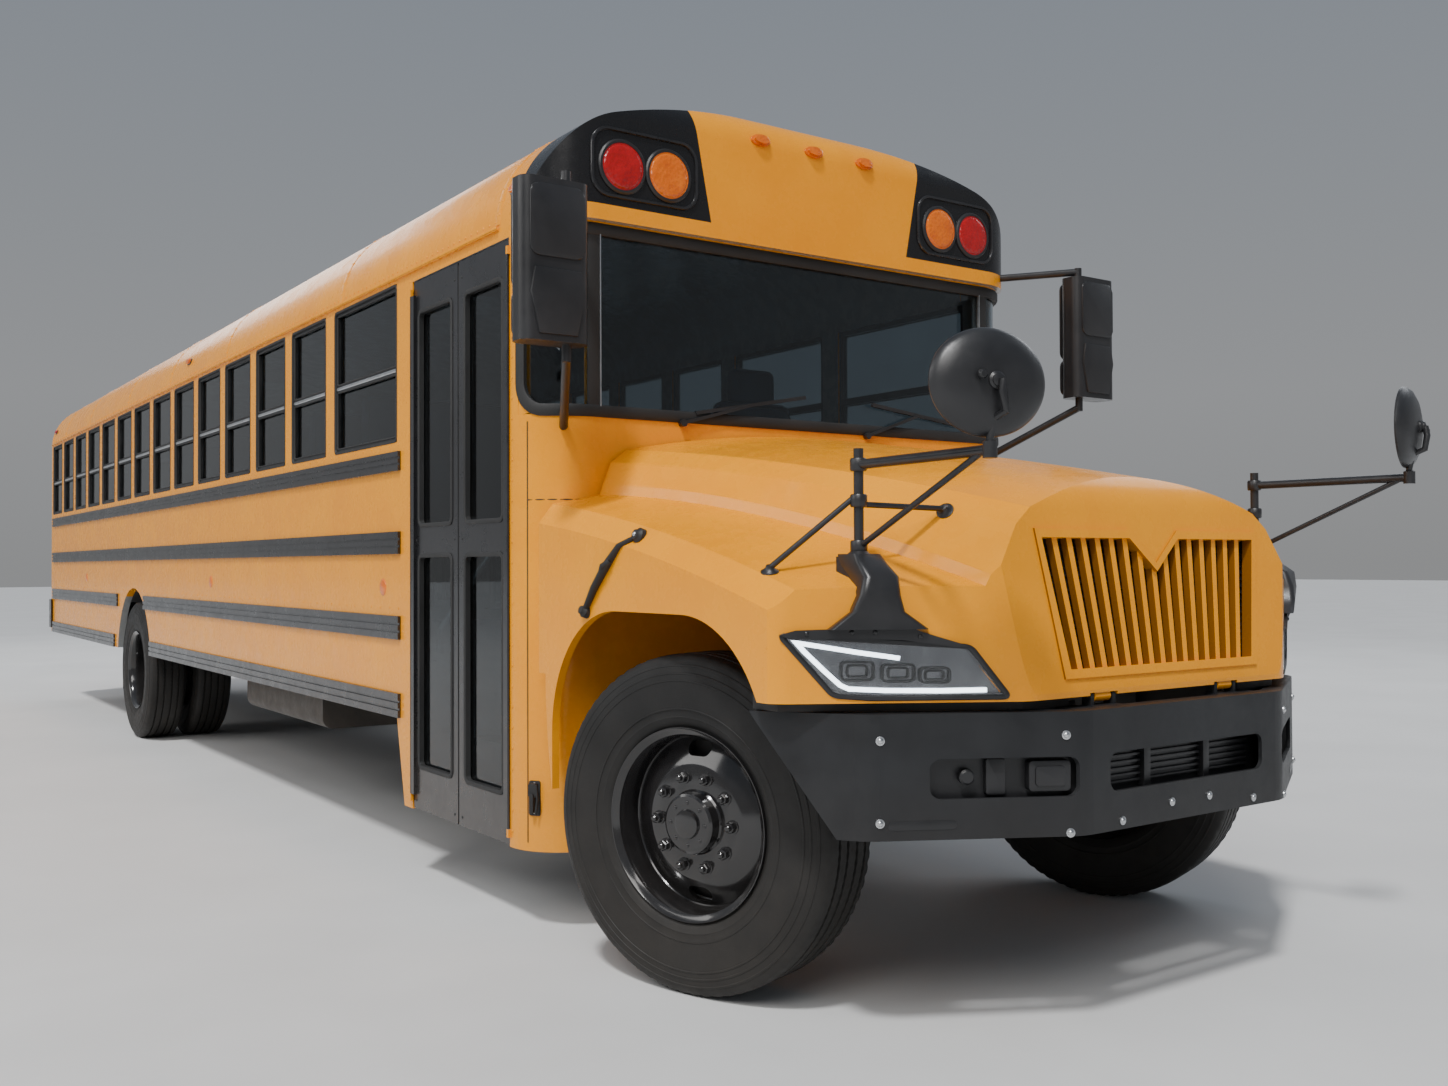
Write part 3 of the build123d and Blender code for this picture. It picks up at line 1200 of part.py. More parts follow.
rear_door_panel.part.label = "rear_door_panel"
export_step(rear_door_panel.part, "parts/rear_door_panel.step")

with BuildPart() as rear_door_glass:
    for half, low, high in EXIT_PANES:
        block(-half, half, TAIL - 24, TAIL - 24 + GLASS, low, high)
rear_door_glass.part.label = "rear_door_glass"
export_step(rear_door_glass.part, "parts/rear_door_glass.step")

# Stop arm, folded back along the bus's left
STOP_FLAT = 450.0
STOP_Y = at(1250)
STOP_Z = 1605.0
STOP_X = HALF_W + 38
STOP_AXIS = (STOP_X + 5, STOP_Y - 40)
with BuildPart() as stop_bracket:
    block(HALF_W, STOP_X - 12, STOP_Y - 70, STOP_Y - 30, STOP_Z - 90, STOP_Z + 90)
    block(HALF_W, STOP_X + 20, STOP_Y - 70, STOP_Y - 55, STOP_Z - 90, STOP_Z + 90)
    for z in (STOP_Z - 60 - LUG_GAP - LUG_H, STOP_Z + 60 + LUG_GAP):
        block(HALF_W, STOP_X + 14, STOP_Y - 60, STOP_AXIS[1] + 9, z, z + LUG_H - 1)
stop_bracket.part.label = "stop_bracket"
export_step(stop_bracket.part, "parts/stop_bracket.step")

with BuildPart() as stop_sign:
    with BuildSketch(side(STOP_X)):
        with Locations((STOP_Y + 50 + STOP_FLAT / 2, STOP_Z)):
            RegularPolygon(STOP_FLAT / 2, 8, major_radius=False, rotation=22.5)
        patch(STOP_Y - 45, STOP_Y + 80, STOP_Z - 60, STOP_Z + 60)
    extrude(amount=10)
    tube((*STOP_AXIS, STOP_Z - 60), (*STOP_AXIS, STOP_Z + 60), 8.0)
stop_sign.part.label = "stop_sign"
export_step(stop_sign.part, "parts/stop_sign.step")

# Front wheel ends, one plane each: local x runs outward along the axle, local z up
TURN = math.radians(STEER)
SPINDLE_R = 30.0
HUB_IN = -GAP  # hub's inner end, from the wheel's middle
TRAIL = TRACK_X - KINGPIN_X


def kingpin_plane(s):
    """Plane at a kingpin at hub height, turned with the wheel."""
    out = Vector(s * math.cos(TURN), s * math.sin(TURN), 0)
    return Plane(origin=(s * KINGPIN_X, AXLE_F, TYRE_R), x_dir=out, z_dir=(0, 0, 1))


def knuckle(s):
    """Forked knuckle with its spindle outward and its arm rearward."""
    with BuildPart(kingpin_plane(s)) as fork:
        block(52, 90, -45, 45, -LUG_Z - LUG_T, LUG_Z + LUG_T)
        for z in (-LUG_Z - LUG_T, LUG_Z):
            block(0, 60, -30, 30, z, z + LUG_T)
            with Locations((0, 0, z + LUG_T / 2)):
                Cylinder(38, LUG_T)
        block(-15, 15, 0, s * ARM, -LUG_Z - LUG_T, -LUG_Z - LUG_T + 25)
        with Locations((0, s * ARM, -LUG_Z - LUG_T + 12.5)):
            Cylinder(28, 25)
        Cylinder(PIN_R + FIT, 3 * (LUG_Z + LUG_T), mode=Mode.SUBTRACT)
        with Locations((0, s * ARM, -LUG_Z - LUG_T)):
            Cylinder(12 + FIT, 100, mode=Mode.SUBTRACT)
        with Locations(Location((85, 0, 0), (0, 90, 0))):
            Cylinder(SPINDLE_R, TRAIL + 60 - 85, align=(Align.CENTER, Align.CENTER, Align.MIN))
    return fork.part


with BuildPart() as knuckle_right:
    add(knuckle(-1))
knuckle_right.part.label = "knuckle_right"
export_step(knuckle_right.part, "parts/knuckle_right.step")

with BuildPart() as knuckle_left:
    add(knuckle(1))
knuckle_left.part.label = "knuckle_left"
export_step(knuckle_left.part, "parts/knuckle_left.step")

# Tie rod above the two eyes
EYE_DX = -ARM * math.sin(TURN)
EYE_Y = AXLE_F + ARM * math.cos(TURN)
EYE_Z = TYRE_R - LUG_Z - LUG_T
ROD_Z = EYE_Z + 47
with BuildPart() as tie_rod:
    tube((EYE_DX - KINGPIN_X, EYE_Y, ROD_Z), (EYE_DX + KINGPIN_X, EYE_Y, ROD_Z), 15.0)
    for s in (-1, 1):
        with Locations((EYE_DX + s * KINGPIN_X, EYE_Y, (EYE_Z + ROD_Z) / 2)):
            Cylinder(12, ROD_Z - EYE_Z)
        with Locations((EYE_DX + s * KINGPIN_X, EYE_Y, ROD_Z)):
            Cylinder(22, 36)
tie_rod.part.label = "tie_rod"
export_step(tie_rod.part, "parts/tie_rod.step")


def hub_plane(x, y, out):
    """Plane through a wheel's middle: local x outward along the axle, local y straight down."""
    return Plane(origin=(x, y, TYRE_R), x_dir=out, z_dir=out.cross(Vector(0, 0, -1)))


def barrel_face(half):
    """A rim's barrel in the plane above, out to half each way."""
    patch(-half, half, RIM_R - RIM_T, RIM_R - FIT)


def front_wheel(s):
    """Plane, centre and outward direction of a front wheel as it stands."""
    out = Vector(s * math.cos(TURN), s * math.sin(TURN), 0)
    middle = Vector(s * KINGPIN_X, AXLE_F, TYRE_R) + out * TRAIL
    return hub_plane(middle.X, middle.Y, out), middle, out


def front_tyre(s):
    """A front tyre with its outer shoulder cut back."""
    plane, middle, out = front_wheel(s)
    half = TYRE_W / 2
    with BuildPart() as ring:
        with BuildSketch(plane):
            Polygon(
                (-half, RIM_R), (half, RIM_R), (half, TYRE_R - SHOULDER), (half - SHOULDER, TYRE_R),
                (-half, TYRE_R), align=None,
            )
        revolve(axis=Axis(middle, out))
    return ring.part


WEB_X = 26.0  # inner face of a front rim's web, out from the wheel's middle
WEB_T = 14.0
NUT_FACE_X = 70.0
NUT_RING_R = 182.0
NUT_R = 17.0
HOLE_R = 226.0  # hand holes' middles
HOLE_L = 88.0
HOLE_W = 47.0
HUB_R = 95.0
CAP_R = 45.0


def wheel_details(middle, out, face, web):
    """Ten nuts standing on the plane face and two hand holes through the web between its two planes."""
    with BuildSketch(Plane(origin=middle + out * face, x_dir=(0, 0, 1), z_dir=out)) as nuts:
        with PolarLocations(STUD_PCD / 2, STUDS, start_angle=18):
            RegularPolygon(NUT_R, 6)
    extrude(nuts.sketch, amount=22)
    with BuildSketch(Plane(origin=middle + out * (web[0] - 1), x_dir=(0, 0, 1), z_dir=out)) as holes:
        with PolarLocations(HOLE_R, 2):
            SlotOverall(HOLE_L, HOLE_W, rotation=90)
    extrude(holes.sketch, amount=web[1] - web[0] + 2, mode=Mode.SUBTRACT)


def front_rim(s):
    """A front rim: barrel, flat web with a raised nut ring, hub and cap."""
    plane, middle, out = front_wheel(s)
    with BuildPart() as rim:
        with BuildSketch(plane):
            barrel_face(RIM_W / 2)
            patch(WEB_X, WEB_X + WEB_T, NUT_RING_R - 1, RIM_R - RIM_T + 1)
            patch(WEB_X, NUT_FACE_X, NUT_RING_R - WEB_T, NUT_RING_R)
            patch(NUT_FACE_X - WEB_T, NUT_FACE_X, HUB_R - 1, NUT_RING_R)
            patch(HUB_IN, NUT_FACE_X, SPINDLE_R + FIT, HUB_R)
            patch(NUT_FACE_X, NUT_FACE_X + 40, 0.01, HUB_R)
            patch(NUT_FACE_X + 40, NUT_FACE_X + 52, 0.01, CAP_R)
        revolve(axis=Axis(middle, out))
        wheel_details(middle, out, NUT_FACE_X, (WEB_X, WEB_X + WEB_T))
    return rim.part


def twin_middle(s):
    """Middle of a pair of rear wheels, and the way outward."""
    return Vector(s * TWIN_X, AXLE_R, TYRE_R), Vector(s, 0, 0)


def rear_tyres(s):
    """Two rear tyres side by side."""
    middle, out = twin_middle(s)
    with BuildPart() as rings:
        with BuildSketch(hub_plane(middle.X, middle.Y, out)):
            for u in (-DUAL_PITCH / 2, DUAL_PITCH / 2):
                patch(u - TYRE_W / 2, u + TYRE_W / 2, RIM_R, TYRE_R)
        revolve(axis=Axis(middle, out))
    return rings.part


def rear_rims(s):
    """Twin rims: one deep barrel, the discs together in the middle, and the hub."""
    middle, out = twin_middle(s)
    with BuildPart() as rims:
        with BuildSketch(hub_plane(middle.X, middle.Y, out)):
            barrel_face(DUAL_PITCH / 2 + RIM_W / 2)
            patch(-WEB_T, WEB_T, HUB_R - 1, RIM_R - RIM_T + 1)
            patch(-90, 62, REAR_SPINDLE + FIT, HUB_R)
            patch(62, 150, 0.01, HUB_R)
        revolve(axis=Axis(middle, out))
        wheel_details(middle, out, WEB_T, (-WEB_T, WEB_T))
    return rims.part


with BuildPart() as tyre_front_right:
    add(front_tyre(-1))
tyre_front_right.part.label = "tyre_front_right"
export_step(tyre_front_right.part, "parts/tyre_front_right.step")

with BuildPart() as tyre_front_left:
    add(front_tyre(1))
tyre_front_left.part.label = "tyre_front_left"
export_step(tyre_front_left.part, "parts/tyre_front_left.step")

with BuildPart() as rim_front_right:
    add(front_rim(-1))
rim_front_right.part.label = "rim_front_right"
export_step(rim_front_right.part, "parts/rim_front_right.step")

with BuildPart() as rim_front_left:
    add(front_rim(1))
rim_front_left.part.label = "rim_front_left"
export_step(rim_front_left.part, "parts/rim_front_left.step")

with BuildPart() as tyres_rear_right:
    add(rear_tyres(-1))
tyres_rear_right.part.label = "tyres_rear_right"
export_step(tyres_rear_right.part, "parts/tyres_rear_right.step")

with BuildPart() as tyres_rear_left:
    add(rear_tyres(1))
tyres_rear_left.part.label = "tyres_rear_left"
export_step(tyres_rear_left.part, "parts/tyres_rear_left.step")

with BuildPart() as rims_rear_right:
    add(rear_rims(-1))
rims_rear_right.part.label = "rims_rear_right"
export_step(rims_rear_right.part, "parts/rims_rear_right.step")

with BuildPart() as rims_rear_left:
    add(rear_rims(1))
rims_rear_left.part.label = "rims_rear_left"
export_step(rims_rear_left.part, "parts/rims_rear_left.step")
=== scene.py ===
from math import asin, atan2, copysign, cos, hypot, pi, radians, sin

import bmesh
import bpy
from mathutils import Matrix, Vector


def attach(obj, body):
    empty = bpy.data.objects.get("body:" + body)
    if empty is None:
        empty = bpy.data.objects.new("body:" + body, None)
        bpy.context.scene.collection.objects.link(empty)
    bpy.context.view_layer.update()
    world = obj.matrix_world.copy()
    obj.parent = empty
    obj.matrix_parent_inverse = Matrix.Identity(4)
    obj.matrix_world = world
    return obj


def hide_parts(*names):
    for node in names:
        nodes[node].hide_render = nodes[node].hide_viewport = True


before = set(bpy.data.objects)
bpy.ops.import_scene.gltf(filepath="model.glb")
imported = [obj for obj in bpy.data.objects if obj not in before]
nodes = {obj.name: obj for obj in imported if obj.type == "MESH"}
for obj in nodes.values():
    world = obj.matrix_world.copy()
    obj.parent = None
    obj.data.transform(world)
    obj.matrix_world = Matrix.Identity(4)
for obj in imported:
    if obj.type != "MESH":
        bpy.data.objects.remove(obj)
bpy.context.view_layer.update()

# Places shared with the CAD source, in metres
AXLE_F = -5.2
AXLE_R = 2.36
HALF = 1.219
TAIL = 6.44
FRONT = AXLE_F + 0.69
DOOR_FRONT = AXLE_F + 0.925
DOOR_REAR = DOOR_FRONT + 0.93
GUTTER = 2.572
ROOF = 3.106
FLOOR = 1.09
SILL = 1.863
HEAD = 2.555
CORNER = 0.225
TURN = radians(18.7)
REAR_END = TAIL - 0.05
FIRST = AXLE_F + 2.034
FIRST_WIDE, WINDOW_WIDE, PILLAR = 0.816, 0.55, 0.13
SECOND = FIRST + FIRST_WIDE + PILLAR
PITCH = (REAR_END - 0.047 - WINDOW_WIDE - SECOND) / 12
WINDOWS = [(FIRST, FIRST_WIDE)] + [(SECOND + i * PITCH, WINDOW_WIDE) for i in range(13)]
DRIVER = (DOOR_FRONT + 0.06, FIRST - PILLAR - DOOR_FRONT - 0.06)
UP, ACROSS = Vector((0, 0, 1)), Vector((1, 0, 0))
AHEAD, BEHIND = Vector((0, -1, 0)), Vector((0, 1, 0))


def placed(name, data):
    """A new object in the scene."""
    thing = bpy.data.objects.new(name, data)
    bpy.context.collection.objects.link(thing)
    return thing


# Camera, from the fitted view of the photograph
heading, pitch, roll = 0.6121, 0.0163, -0.0042
EYE = (-3.3403, -8.6618, 1.3245)
FOCAL, PHOTO_WIDE, SENSOR = 1315.25, 1448, 36
forward = Vector((sin(heading) * cos(pitch), cos(heading) * cos(pitch), sin(pitch)))
right = Vector((cos(heading), -sin(heading), 0))
over = right.cross(forward)
cam_x = right * cos(roll) + over * sin(roll)
cam_y = over * cos(roll) - right * sin(roll)
camera = placed("camera", bpy.data.cameras.new("camera"))
camera.data.sensor_width = SENSOR
camera.data.lens = FOCAL * SENSOR / PHOTO_WIDE
camera.matrix_world = Matrix.Translation(EYE) @ Matrix((cam_x, cam_y, -forward)).transposed().to_4x4()
bpy.context.scene.camera = camera


# Materials
def node(tree, kind, links=None, **values):
    """Adds a shader node, with sockets set by name and links made from other sockets."""
    n = tree.nodes.new(kind)
    for key, value in values.items():
        if hasattr(n, key):
            setattr(n, key, value)
        else:
            n.inputs[key.replace("_", " ")].default_value = value
    for key, source in (links or {}).items():
        tree.links.new(source, n.inputs[key])
    return n


def ramp(tree, source, stops):
    """Colour ramp from (place, colour) stops."""
    n = node(tree, "ShaderNodeValToRGB", {"Fac": source})
    while len(n.color_ramp.elements) < len(stops):
        n.color_ramp.elements.new(0.5)
    for element, (place, colour) in zip(n.color_ramp.elements, stops):
        element.position = place
        element.color = (*colour, 1)
    return n.outputs["Color"]


def axes_of(tree, kind="Object"):
    """X, Y and Z of a piece's own coordinates, or of its normals."""
    place = node(tree, "ShaderNodeTexCoord").outputs[kind]
    return node(tree, "ShaderNodeSeparateXYZ", {"Vector": place}).outputs


def noise(tree, place, scale, detail, roughness=0.5):
    """Noise between 0 and 1."""
    n = node(tree, "ShaderNodeTexNoise", {"Vector": place}, Scale=scale, Detail=detail, Roughness=roughness)
    return n.outputs["Fac"]


def remap(tree, value, low, high, to_low=0.0, to_high=1.0):
    """Carries a value from one range over to another and stops at its ends."""
    n = node(tree, "ShaderNodeMapRange", {"Value": value}, From_Min=low, From_Max=high, To_Min=to_low,
             To_Max=to_high)
    return n.outputs[0]


def maths(tree, operation, *values):
    """A reckoning with sockets and numbers."""
    n = node(tree, "ShaderNodeMath", operation=operation)
    for socket, value in zip(n.inputs, values):
        if isinstance(value, float):
            socket.default_value = value
        else:
            tree.links.new(value, socket)
    return n.outputs[0]


def mixed(tree, factor, under, colour):
    """A colour laid over another one by factor."""
    mix = node(tree, "ShaderNodeMix", {"Factor": factor, 6: under}, data_type="RGBA")
    mix.inputs[7].default_value = (*colour, 1)
    return mix.outputs[2]


def bumped(tree, height, strength, distance, under=None):
    """A normal raised by height, on top of another normal."""
    links = {"Height": height, "Normal": under} if under else {"Height": height}
    return node(tree, "ShaderNodeBump", links, Strength=strength, Distance=distance).outputs["Normal"]


def principled(material, **values):
    """Sets sockets of a material's main shader by name."""
    sockets = material.node_tree.nodes["Principled BSDF"].inputs
    for key, value in values.items():
        sockets[key.replace("_", " ")].default_value = value
    return material


# Dusty brown mixed in low down: dust on dark pieces, painted shade near the ground on the yellow paint
DUST_AND_SHADE = (0.16, 0.13, 0.1)


def surface(name, dark, light, rough=(0.3, 0.5), scale=3.0, metal=0.0, coat=0.0, grain=0.0, grain_scale=400.0,
            wave=0.0, dust_and_shade=None, spec=0.5, ribs=None):
    """Mottled colour, uneven gloss, grain, waves, ribs, and a dusty brown mixed in towards the ground as
    (full below, none above, amount): dust on dark pieces, painted shade near the ground on the yellow.
    """
    m = bpy.data.materials.new(name)
    m.use_nodes = True
    t = m.node_tree
    place = node(t, "ShaderNodeTexCoord").outputs["Object"]
    colour = ramp(t, noise(t, place, scale, 6.0, 0.6), [(0.3, dark), (0.7, light)])
    if dust_and_shade:
        low, high, most = dust_and_shade
        near_ground = remap(t, axes_of(t)["Z"], high, low, 0.0, most)
        colour = mixed(t, maths(t, "MULTIPLY", near_ground, noise(t, place, 9.0, 8.0, 0.7)), colour, DUST_AND_SHADE)
    gloss = remap(t, noise(t, place, scale * 4, 8.0, 0.65), 0.3, 0.7, *rough)
    normal = None
    if wave:
        normal = bumped(t, noise(t, place, 1.2, 2.0), wave, 0.02)
    if grain:
        normal = bumped(t, noise(t, place, grain_scale, 4.0), grain, 0.001, normal)
    if ribs:
        lines = node(t, "ShaderNodeTexWave", {"Vector": place}, Scale=ribs[1], bands_direction=ribs[0])
        normal = bumped(t, lines.outputs["Fac"], ribs[2], 0.002, normal)
    for key, source in (("Base Color", colour), ("Roughness", gloss), ("Normal", normal)):
        if source:
            t.links.new(source, t.nodes["Principled BSDF"].inputs[key])
    return principled(m, Metallic=metal, Specular_IOR_Level=spec, Coat_Weight=coat, Coat_Roughness=0.06)


def glass(name, colour):
    """Clear or tinted glass, its gloss faintly uneven."""
    m = surface(name, [c * 0.9 for c in colour], colour, rough=(0.014, 0.028), scale=2.0)
    return principled(m, Transmission_Weight=1.0, IOR=1.45)


def lens_paint(name, dark, light):
    """Coloured plastic of a lamp's lens, with small facets."""
    m = surface(name, dark, light, rough=(0.12, 0.22), coat=0.25, scale=14.0)
    t = m.node_tree
    place = node(t, "ShaderNodeTexCoord").outputs["Object"]
    facets = node(t, "ShaderNodeTexVoronoi", {"Vector": place}, Scale=70.0).outputs["Distance"]
    t.links.new(bumped(t, facets, 0.6, 0.004), t.nodes["Principled BSDF"].inputs["Normal"])
    return m


# The yellow turns darker and browner towards the ground: painted shade near the ground
yellow = surface("yellow_paint", (0.84, 0.3, 0.0), (0.9, 0.342, 0.0), rough=(0.2, 0.34), coat=0.12,
                 wave=0.06, grain=0.05, grain_scale=900.0, dust_and_shade=(0.25, 1.0, 0.2), spec=0.32)
black = surface("black_paint", (0.008, 0.008, 0.009), (0.016, 0.016, 0.018), rough=(0.22, 0.4), coat=0.3,
                dust_and_shade=(0.2, 0.9, 0.25))
chassis = surface("chassis_paint", (0.012, 0.012, 0.012), (0.03, 0.028, 0.026), rough=(0.5, 0.75),
                  dust_and_shade=(0.2, 1.2, 0.7), grain=0.2)
charcoal = surface("charcoal_plastic", (0.01, 0.0105, 0.012), (0.018, 0.019, 0.021), rough=(0.4, 0.55),
                   scale=6.0, grain=0.45, grain_scale=700.0, dust_and_shade=(0.5, 0.8, 0.1), spec=0.4)
housing = surface("black_plastic", (0.012, 0.012, 0.013), (0.024, 0.024, 0.026), rough=(0.28, 0.42),
                  grain=0.25, grain_scale=800.0)
rubber = surface("black_rubber", (0.01, 0.01, 0.01), (0.022, 0.022, 0.022), rough=(0.55, 0.75), grain=0.3)
silver = surface("alloy", (0.5, 0.51, 0.52), (0.66, 0.67, 0.68), rough=(0.25, 0.42), metal=1.0, grain=0.1,
                 scale=8.0)
dark_alloy = surface("dark_alloy", (0.02, 0.021, 0.022), (0.05, 0.05, 0.052), rough=(0.3, 0.45), metal=0.6,
                     scale=8.0)
tread = surface("tyre_rubber", (0.007, 0.007, 0.007), (0.016, 0.0155, 0.015), rough=(0.5, 0.75), scale=7.0,
                grain=0.5, grain_scale=260.0, dust_and_shade=(0.0, 0.9, 0.16), spec=0.35)
rim_black = surface("rim_enamel", (0.006, 0.006, 0.007), (0.012, 0.012, 0.013), rough=(0.13, 0.2), coat=0.5,
                    scale=6.0, dust_and_shade=(0.0, 1.0, 0.12))
tinted = glass("tinted_glass", (0.44, 0.52, 0.57))
side_glass = glass("side_glass", (0.2, 0.24, 0.26))
clear = glass("clear_lens", (0.93, 0.95, 0.96))
red_lens = lens_paint("red_lens", (0.3, 0.003, 0.004), (0.46, 0.005, 0.007))
amber_lens = lens_paint("amber_lens", (0.62, 0.11, 0.001), (0.8, 0.18, 0.002))
mirror = surface("mirror_glass", (0.72, 0.74, 0.76), (0.8, 0.82, 0.84), rough=(0.02, 0.05), metal=1.0)
vinyl = surface("seat_vinyl", (0.01, 0.02, 0.045), (0.018, 0.034, 0.07), rough=(0.45, 0.6), grain=0.6,
                grain_scale=500.0, scale=5.0)
floor_rubber = surface("floor_rubber", (0.02, 0.02, 0.021), (0.035, 0.035, 0.036), rough=(0.5, 0.7),
                       ribs=("X", 40.0, 0.5))
dash = surface("dash_plastic", (0.016, 0.016, 0.018), (0.03, 0.03, 0.033), rough=(0.5, 0.65), grain=0.4)
iron = surface("engine_iron", (0.05, 0.05, 0.05), (0.12, 0.11, 0.1), rough=(0.55, 0.8), grain=0.5, metal=0.3)
exhaust_steel = surface("exhaust_steel", (0.22, 0.19, 0.16), (0.4, 0.37, 0.34), rough=(0.4, 0.65), metal=0.9,
                        scale=14.0)
sign_red = surface("sign_red", (0.52, 0.008, 0.01), (0.6, 0.012, 0.015), rough=(0.25, 0.4), coat=0.4)
sign_white = surface("sign_white", (0.74, 0.74, 0.73), (0.82, 0.82, 0.81), rough=(0.3, 0.45))
reflector = surface("lamp_reflector", (0.12, 0.12, 0.13), (0.22, 0.22, 0.23), rough=(0.12, 0.22), metal=0.9,
                    scale=20.0)
GUIDE_COLOUR = (0.85, 0.93, 1.0)
light_guide = principled(surface("light_guide", GUIDE_COLOUR, GUIDE_COLOUR, rough=(0.3, 0.4)),
                         Emission_Color=(*GUIDE_COLOUR, 1), Emission_Strength=5.0)

CAD_MATERIALS = {
    yellow: "wall_left wall_right front_wall front_cap roof rear_wall hood_shell grille rear_door_panel",
    chassis: "frame_rails drive_shaft front_axle rear_axle leaf_springs fuel_tank radiator knuckle_left "
             "knuckle_right tie_rod",
    black: "rub_rails rear_bumper stop_bracket door_front_panel door_rear_panel",
    housing: "mirror_posts body_mirrors hatch_frames hatch_lid_front hatch_lid_rear wipers hood_mirrors",
    rim_black: "rim_front_left rim_front_right rims_rear_left rims_rear_right",
    charcoal: "front_bumper",
    iron: "engine_block",
    exhaust_steel: "exhaust",
    dark_alloy: "window_sashes",
    silver: "step_well",
    dash: "dashboard steering_wheel",
    floor_rubber: "floor",
    rubber: "mud_flaps",
    tread: "tyre_front_left tyre_front_right tyres_rear_left tyres_rear_right",
    tinted: "windshield rear_door_glass",
    side_glass: "window_glass door_front_glass door_rear_glass",
    clear: "headlamps",
    red_lens: "red_lamps",
    amber_lens: "amber_lamps",
    sign_red: "stop_sign",
    vinyl: "seats driver_seat",
}
for paint, names in CAD_MATERIALS.items():
    for name in names.split():
        nodes[name].data.materials.clear()
        nodes[name].data.materials.append(paint)


# Mesh makers
def finish_piece(name, bm, paint, body="coach", smooth=40, replaces=()):
    """Turns a bmesh into a piece that rides on a body; edges over smooth degrees stay sharp."""
    mesh = bpy.data.meshes.new(name)
    bmesh.ops.recalc_face_normals(bm, faces=bm.faces)
    limit = radians(smooth)
    for f in bm.faces:
        f.smooth = True
    for e in bm.edges:
        e.smooth = len(e.link_faces) == 2 and e.calc_face_angle(4.0) < limit
    bm.to_mesh(mesh)
    bm.free()
    mesh.materials.append(paint)
    piece = placed(name, mesh)
    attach(piece, body)
    if replaces:
        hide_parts(*replaces)
    return piece


def frame_of(axis, hint=Vector((0, 0, 1))):
    """Two unit vectors across an axis."""
    axis = Vector(axis).normalized()
    if abs(axis.dot(hint)) > 0.98:
        hint = Vector((0, 1, 0))
    u = axis.cross(hint).normalized()
    return u, u.cross(axis).normalized()


def lathe(bm, profile, centre, axis, segments=96, start=0.0):
    """Turns (along, radius) points about an axis; a closed loop if the first point equals the last."""
    axis = Vector(axis).normalized()
    u, v = frame_of(axis)
    closed = profile[0] == profile[-1]
    points = profile[:-1] if closed else profile
    rings = []
    for along, r in points:
        base = Vector(centre) + axis * along
        if r < 1e-6:
            rings.append([bm.verts.new(base)])
            continue
        ring = []
        for k in range(segments):
            a = start + 2 * pi * k / segments
            ring.append(bm.verts.new(base - v * (r * cos(a)) + u * (r * sin(a))))
        rings.append(ring)
    pairs = list(zip(rings, rings[1:]))
    if closed:
        pairs.append((rings[-1], rings[0]))
    for a, b in pairs:
        for k in range(segments):
            n = (k + 1) % segments
            corners = [a[k % len(a)], a[n % len(a)], b[n % len(b)], b[k % len(b)]]
            corners = list(dict.fromkeys(corners))
            if len(corners) > 2:
                bm.faces.new(corners)
    return rings


def joined(bm, rows, closed=False):
    """Walls between rows of points, each row a loop, with caps unless closed; gives the last cap."""
    pairs = list(zip(rows, rows[1:]))
    if closed:
        pairs.append((rows[-1], rows[0]))
    for a, b in pairs:
        for k in range(len(a)):
            n = (k + 1) % len(a)
            bm.faces.new((a[k], a[n], b[n], b[k]))
    if closed:
        return None
    cap = bm.faces.new(rows[-1])
    bm.faces.new(list(reversed(rows[0])))
    return cap


def sweep(bm, points, radius, segments=10, closed=False, flat=1.0):
    """A round bar along points, of one radius or one for each point; flat squeezes it."""
    points = [Vector(p) for p in points]
    count = len(points)
    rings = []
    for i, p in enumerate(points):
        before = points[i - 1] if i or closed else p
        after = points[(i + 1) % count] if i < count - 1 or closed else p
        u, v = frame_of((after - before).normalized(), Vector((0.1, 0.2, 1)).normalized())
        r = radius[i] if isinstance(radius, list) else radius
        turns = [2 * pi * k / segments for k in range(segments)]
        rings.append([bm.verts.new(p + u * (r * cos(a)) + v * (r * flat * sin(a))) for a in turns])
    joined(bm, rings, closed)


def corners_of(one, other):
    """The low and the high corner of the box between two opposite corners."""
    return [Vector(tuple(map(pick, one, other))) for pick in (min, max)]


def bar(bm, one, other, edge=0.004):
    """A box with rounded edges between two opposite corners."""
    made = bmesh.ops.create_cube(bm, size=1.0)["verts"]
    low, high = corners_of(one, other)
    for v in made:
        v.co = Vector(((low[i] + high[i]) / 2 + v.co[i] * (high[i] - low[i]) for i in range(3)))
    edges = list({e for v in made for e in v.link_edges})
    edge = min(edge, *((high[i] - low[i]) * 0.45 for i in range(3)))
    bmesh.ops.bevel(bm, geom=edges, offset=edge, segments=2, affect="EDGES", profile=0.7)


def prism(bm, outline, origin, x_dir, y_dir, depth, edge=0.0):
    """A flat outline extruded by depth along the cross of its directions, its front edge rounded by edge."""
    x_dir, y_dir = Vector(x_dir).normalized(), Vector(y_dir).normalized()
    out = x_dir.cross(y_dir)
    base = [bm.verts.new(origin + x_dir * a + y_dir * b) for a, b in outline]
    cap = joined(bm, [base, [bm.verts.new(v.co + out * depth) for v in base]])
    if edge:
        bmesh.ops.bevel(bm, geom=list(cap.edges), offset=edge, segments=2, affect="EDGES", profile=0.6)


def knob(bm, centre, axis, segments, *outline, start=0.0):
    """A turned solid from the (along, radius) points of its outline."""
    profile = [(outline[0][0], 0), *outline, (outline[-1][0], 0)]
    lathe(bm, profile, centre, axis, segments, start)


def dome(bm, centre, normal, radius, height, segments=10, rings=3):
    """A low rounded head, such as a rivet's or a lens's."""
    turns = [k / rings * pi / 2 for k in range(rings + 1)]
    lathe(bm, [(height * cos(a), radius * sin(a)) for a in turns], centre, normal, segments)


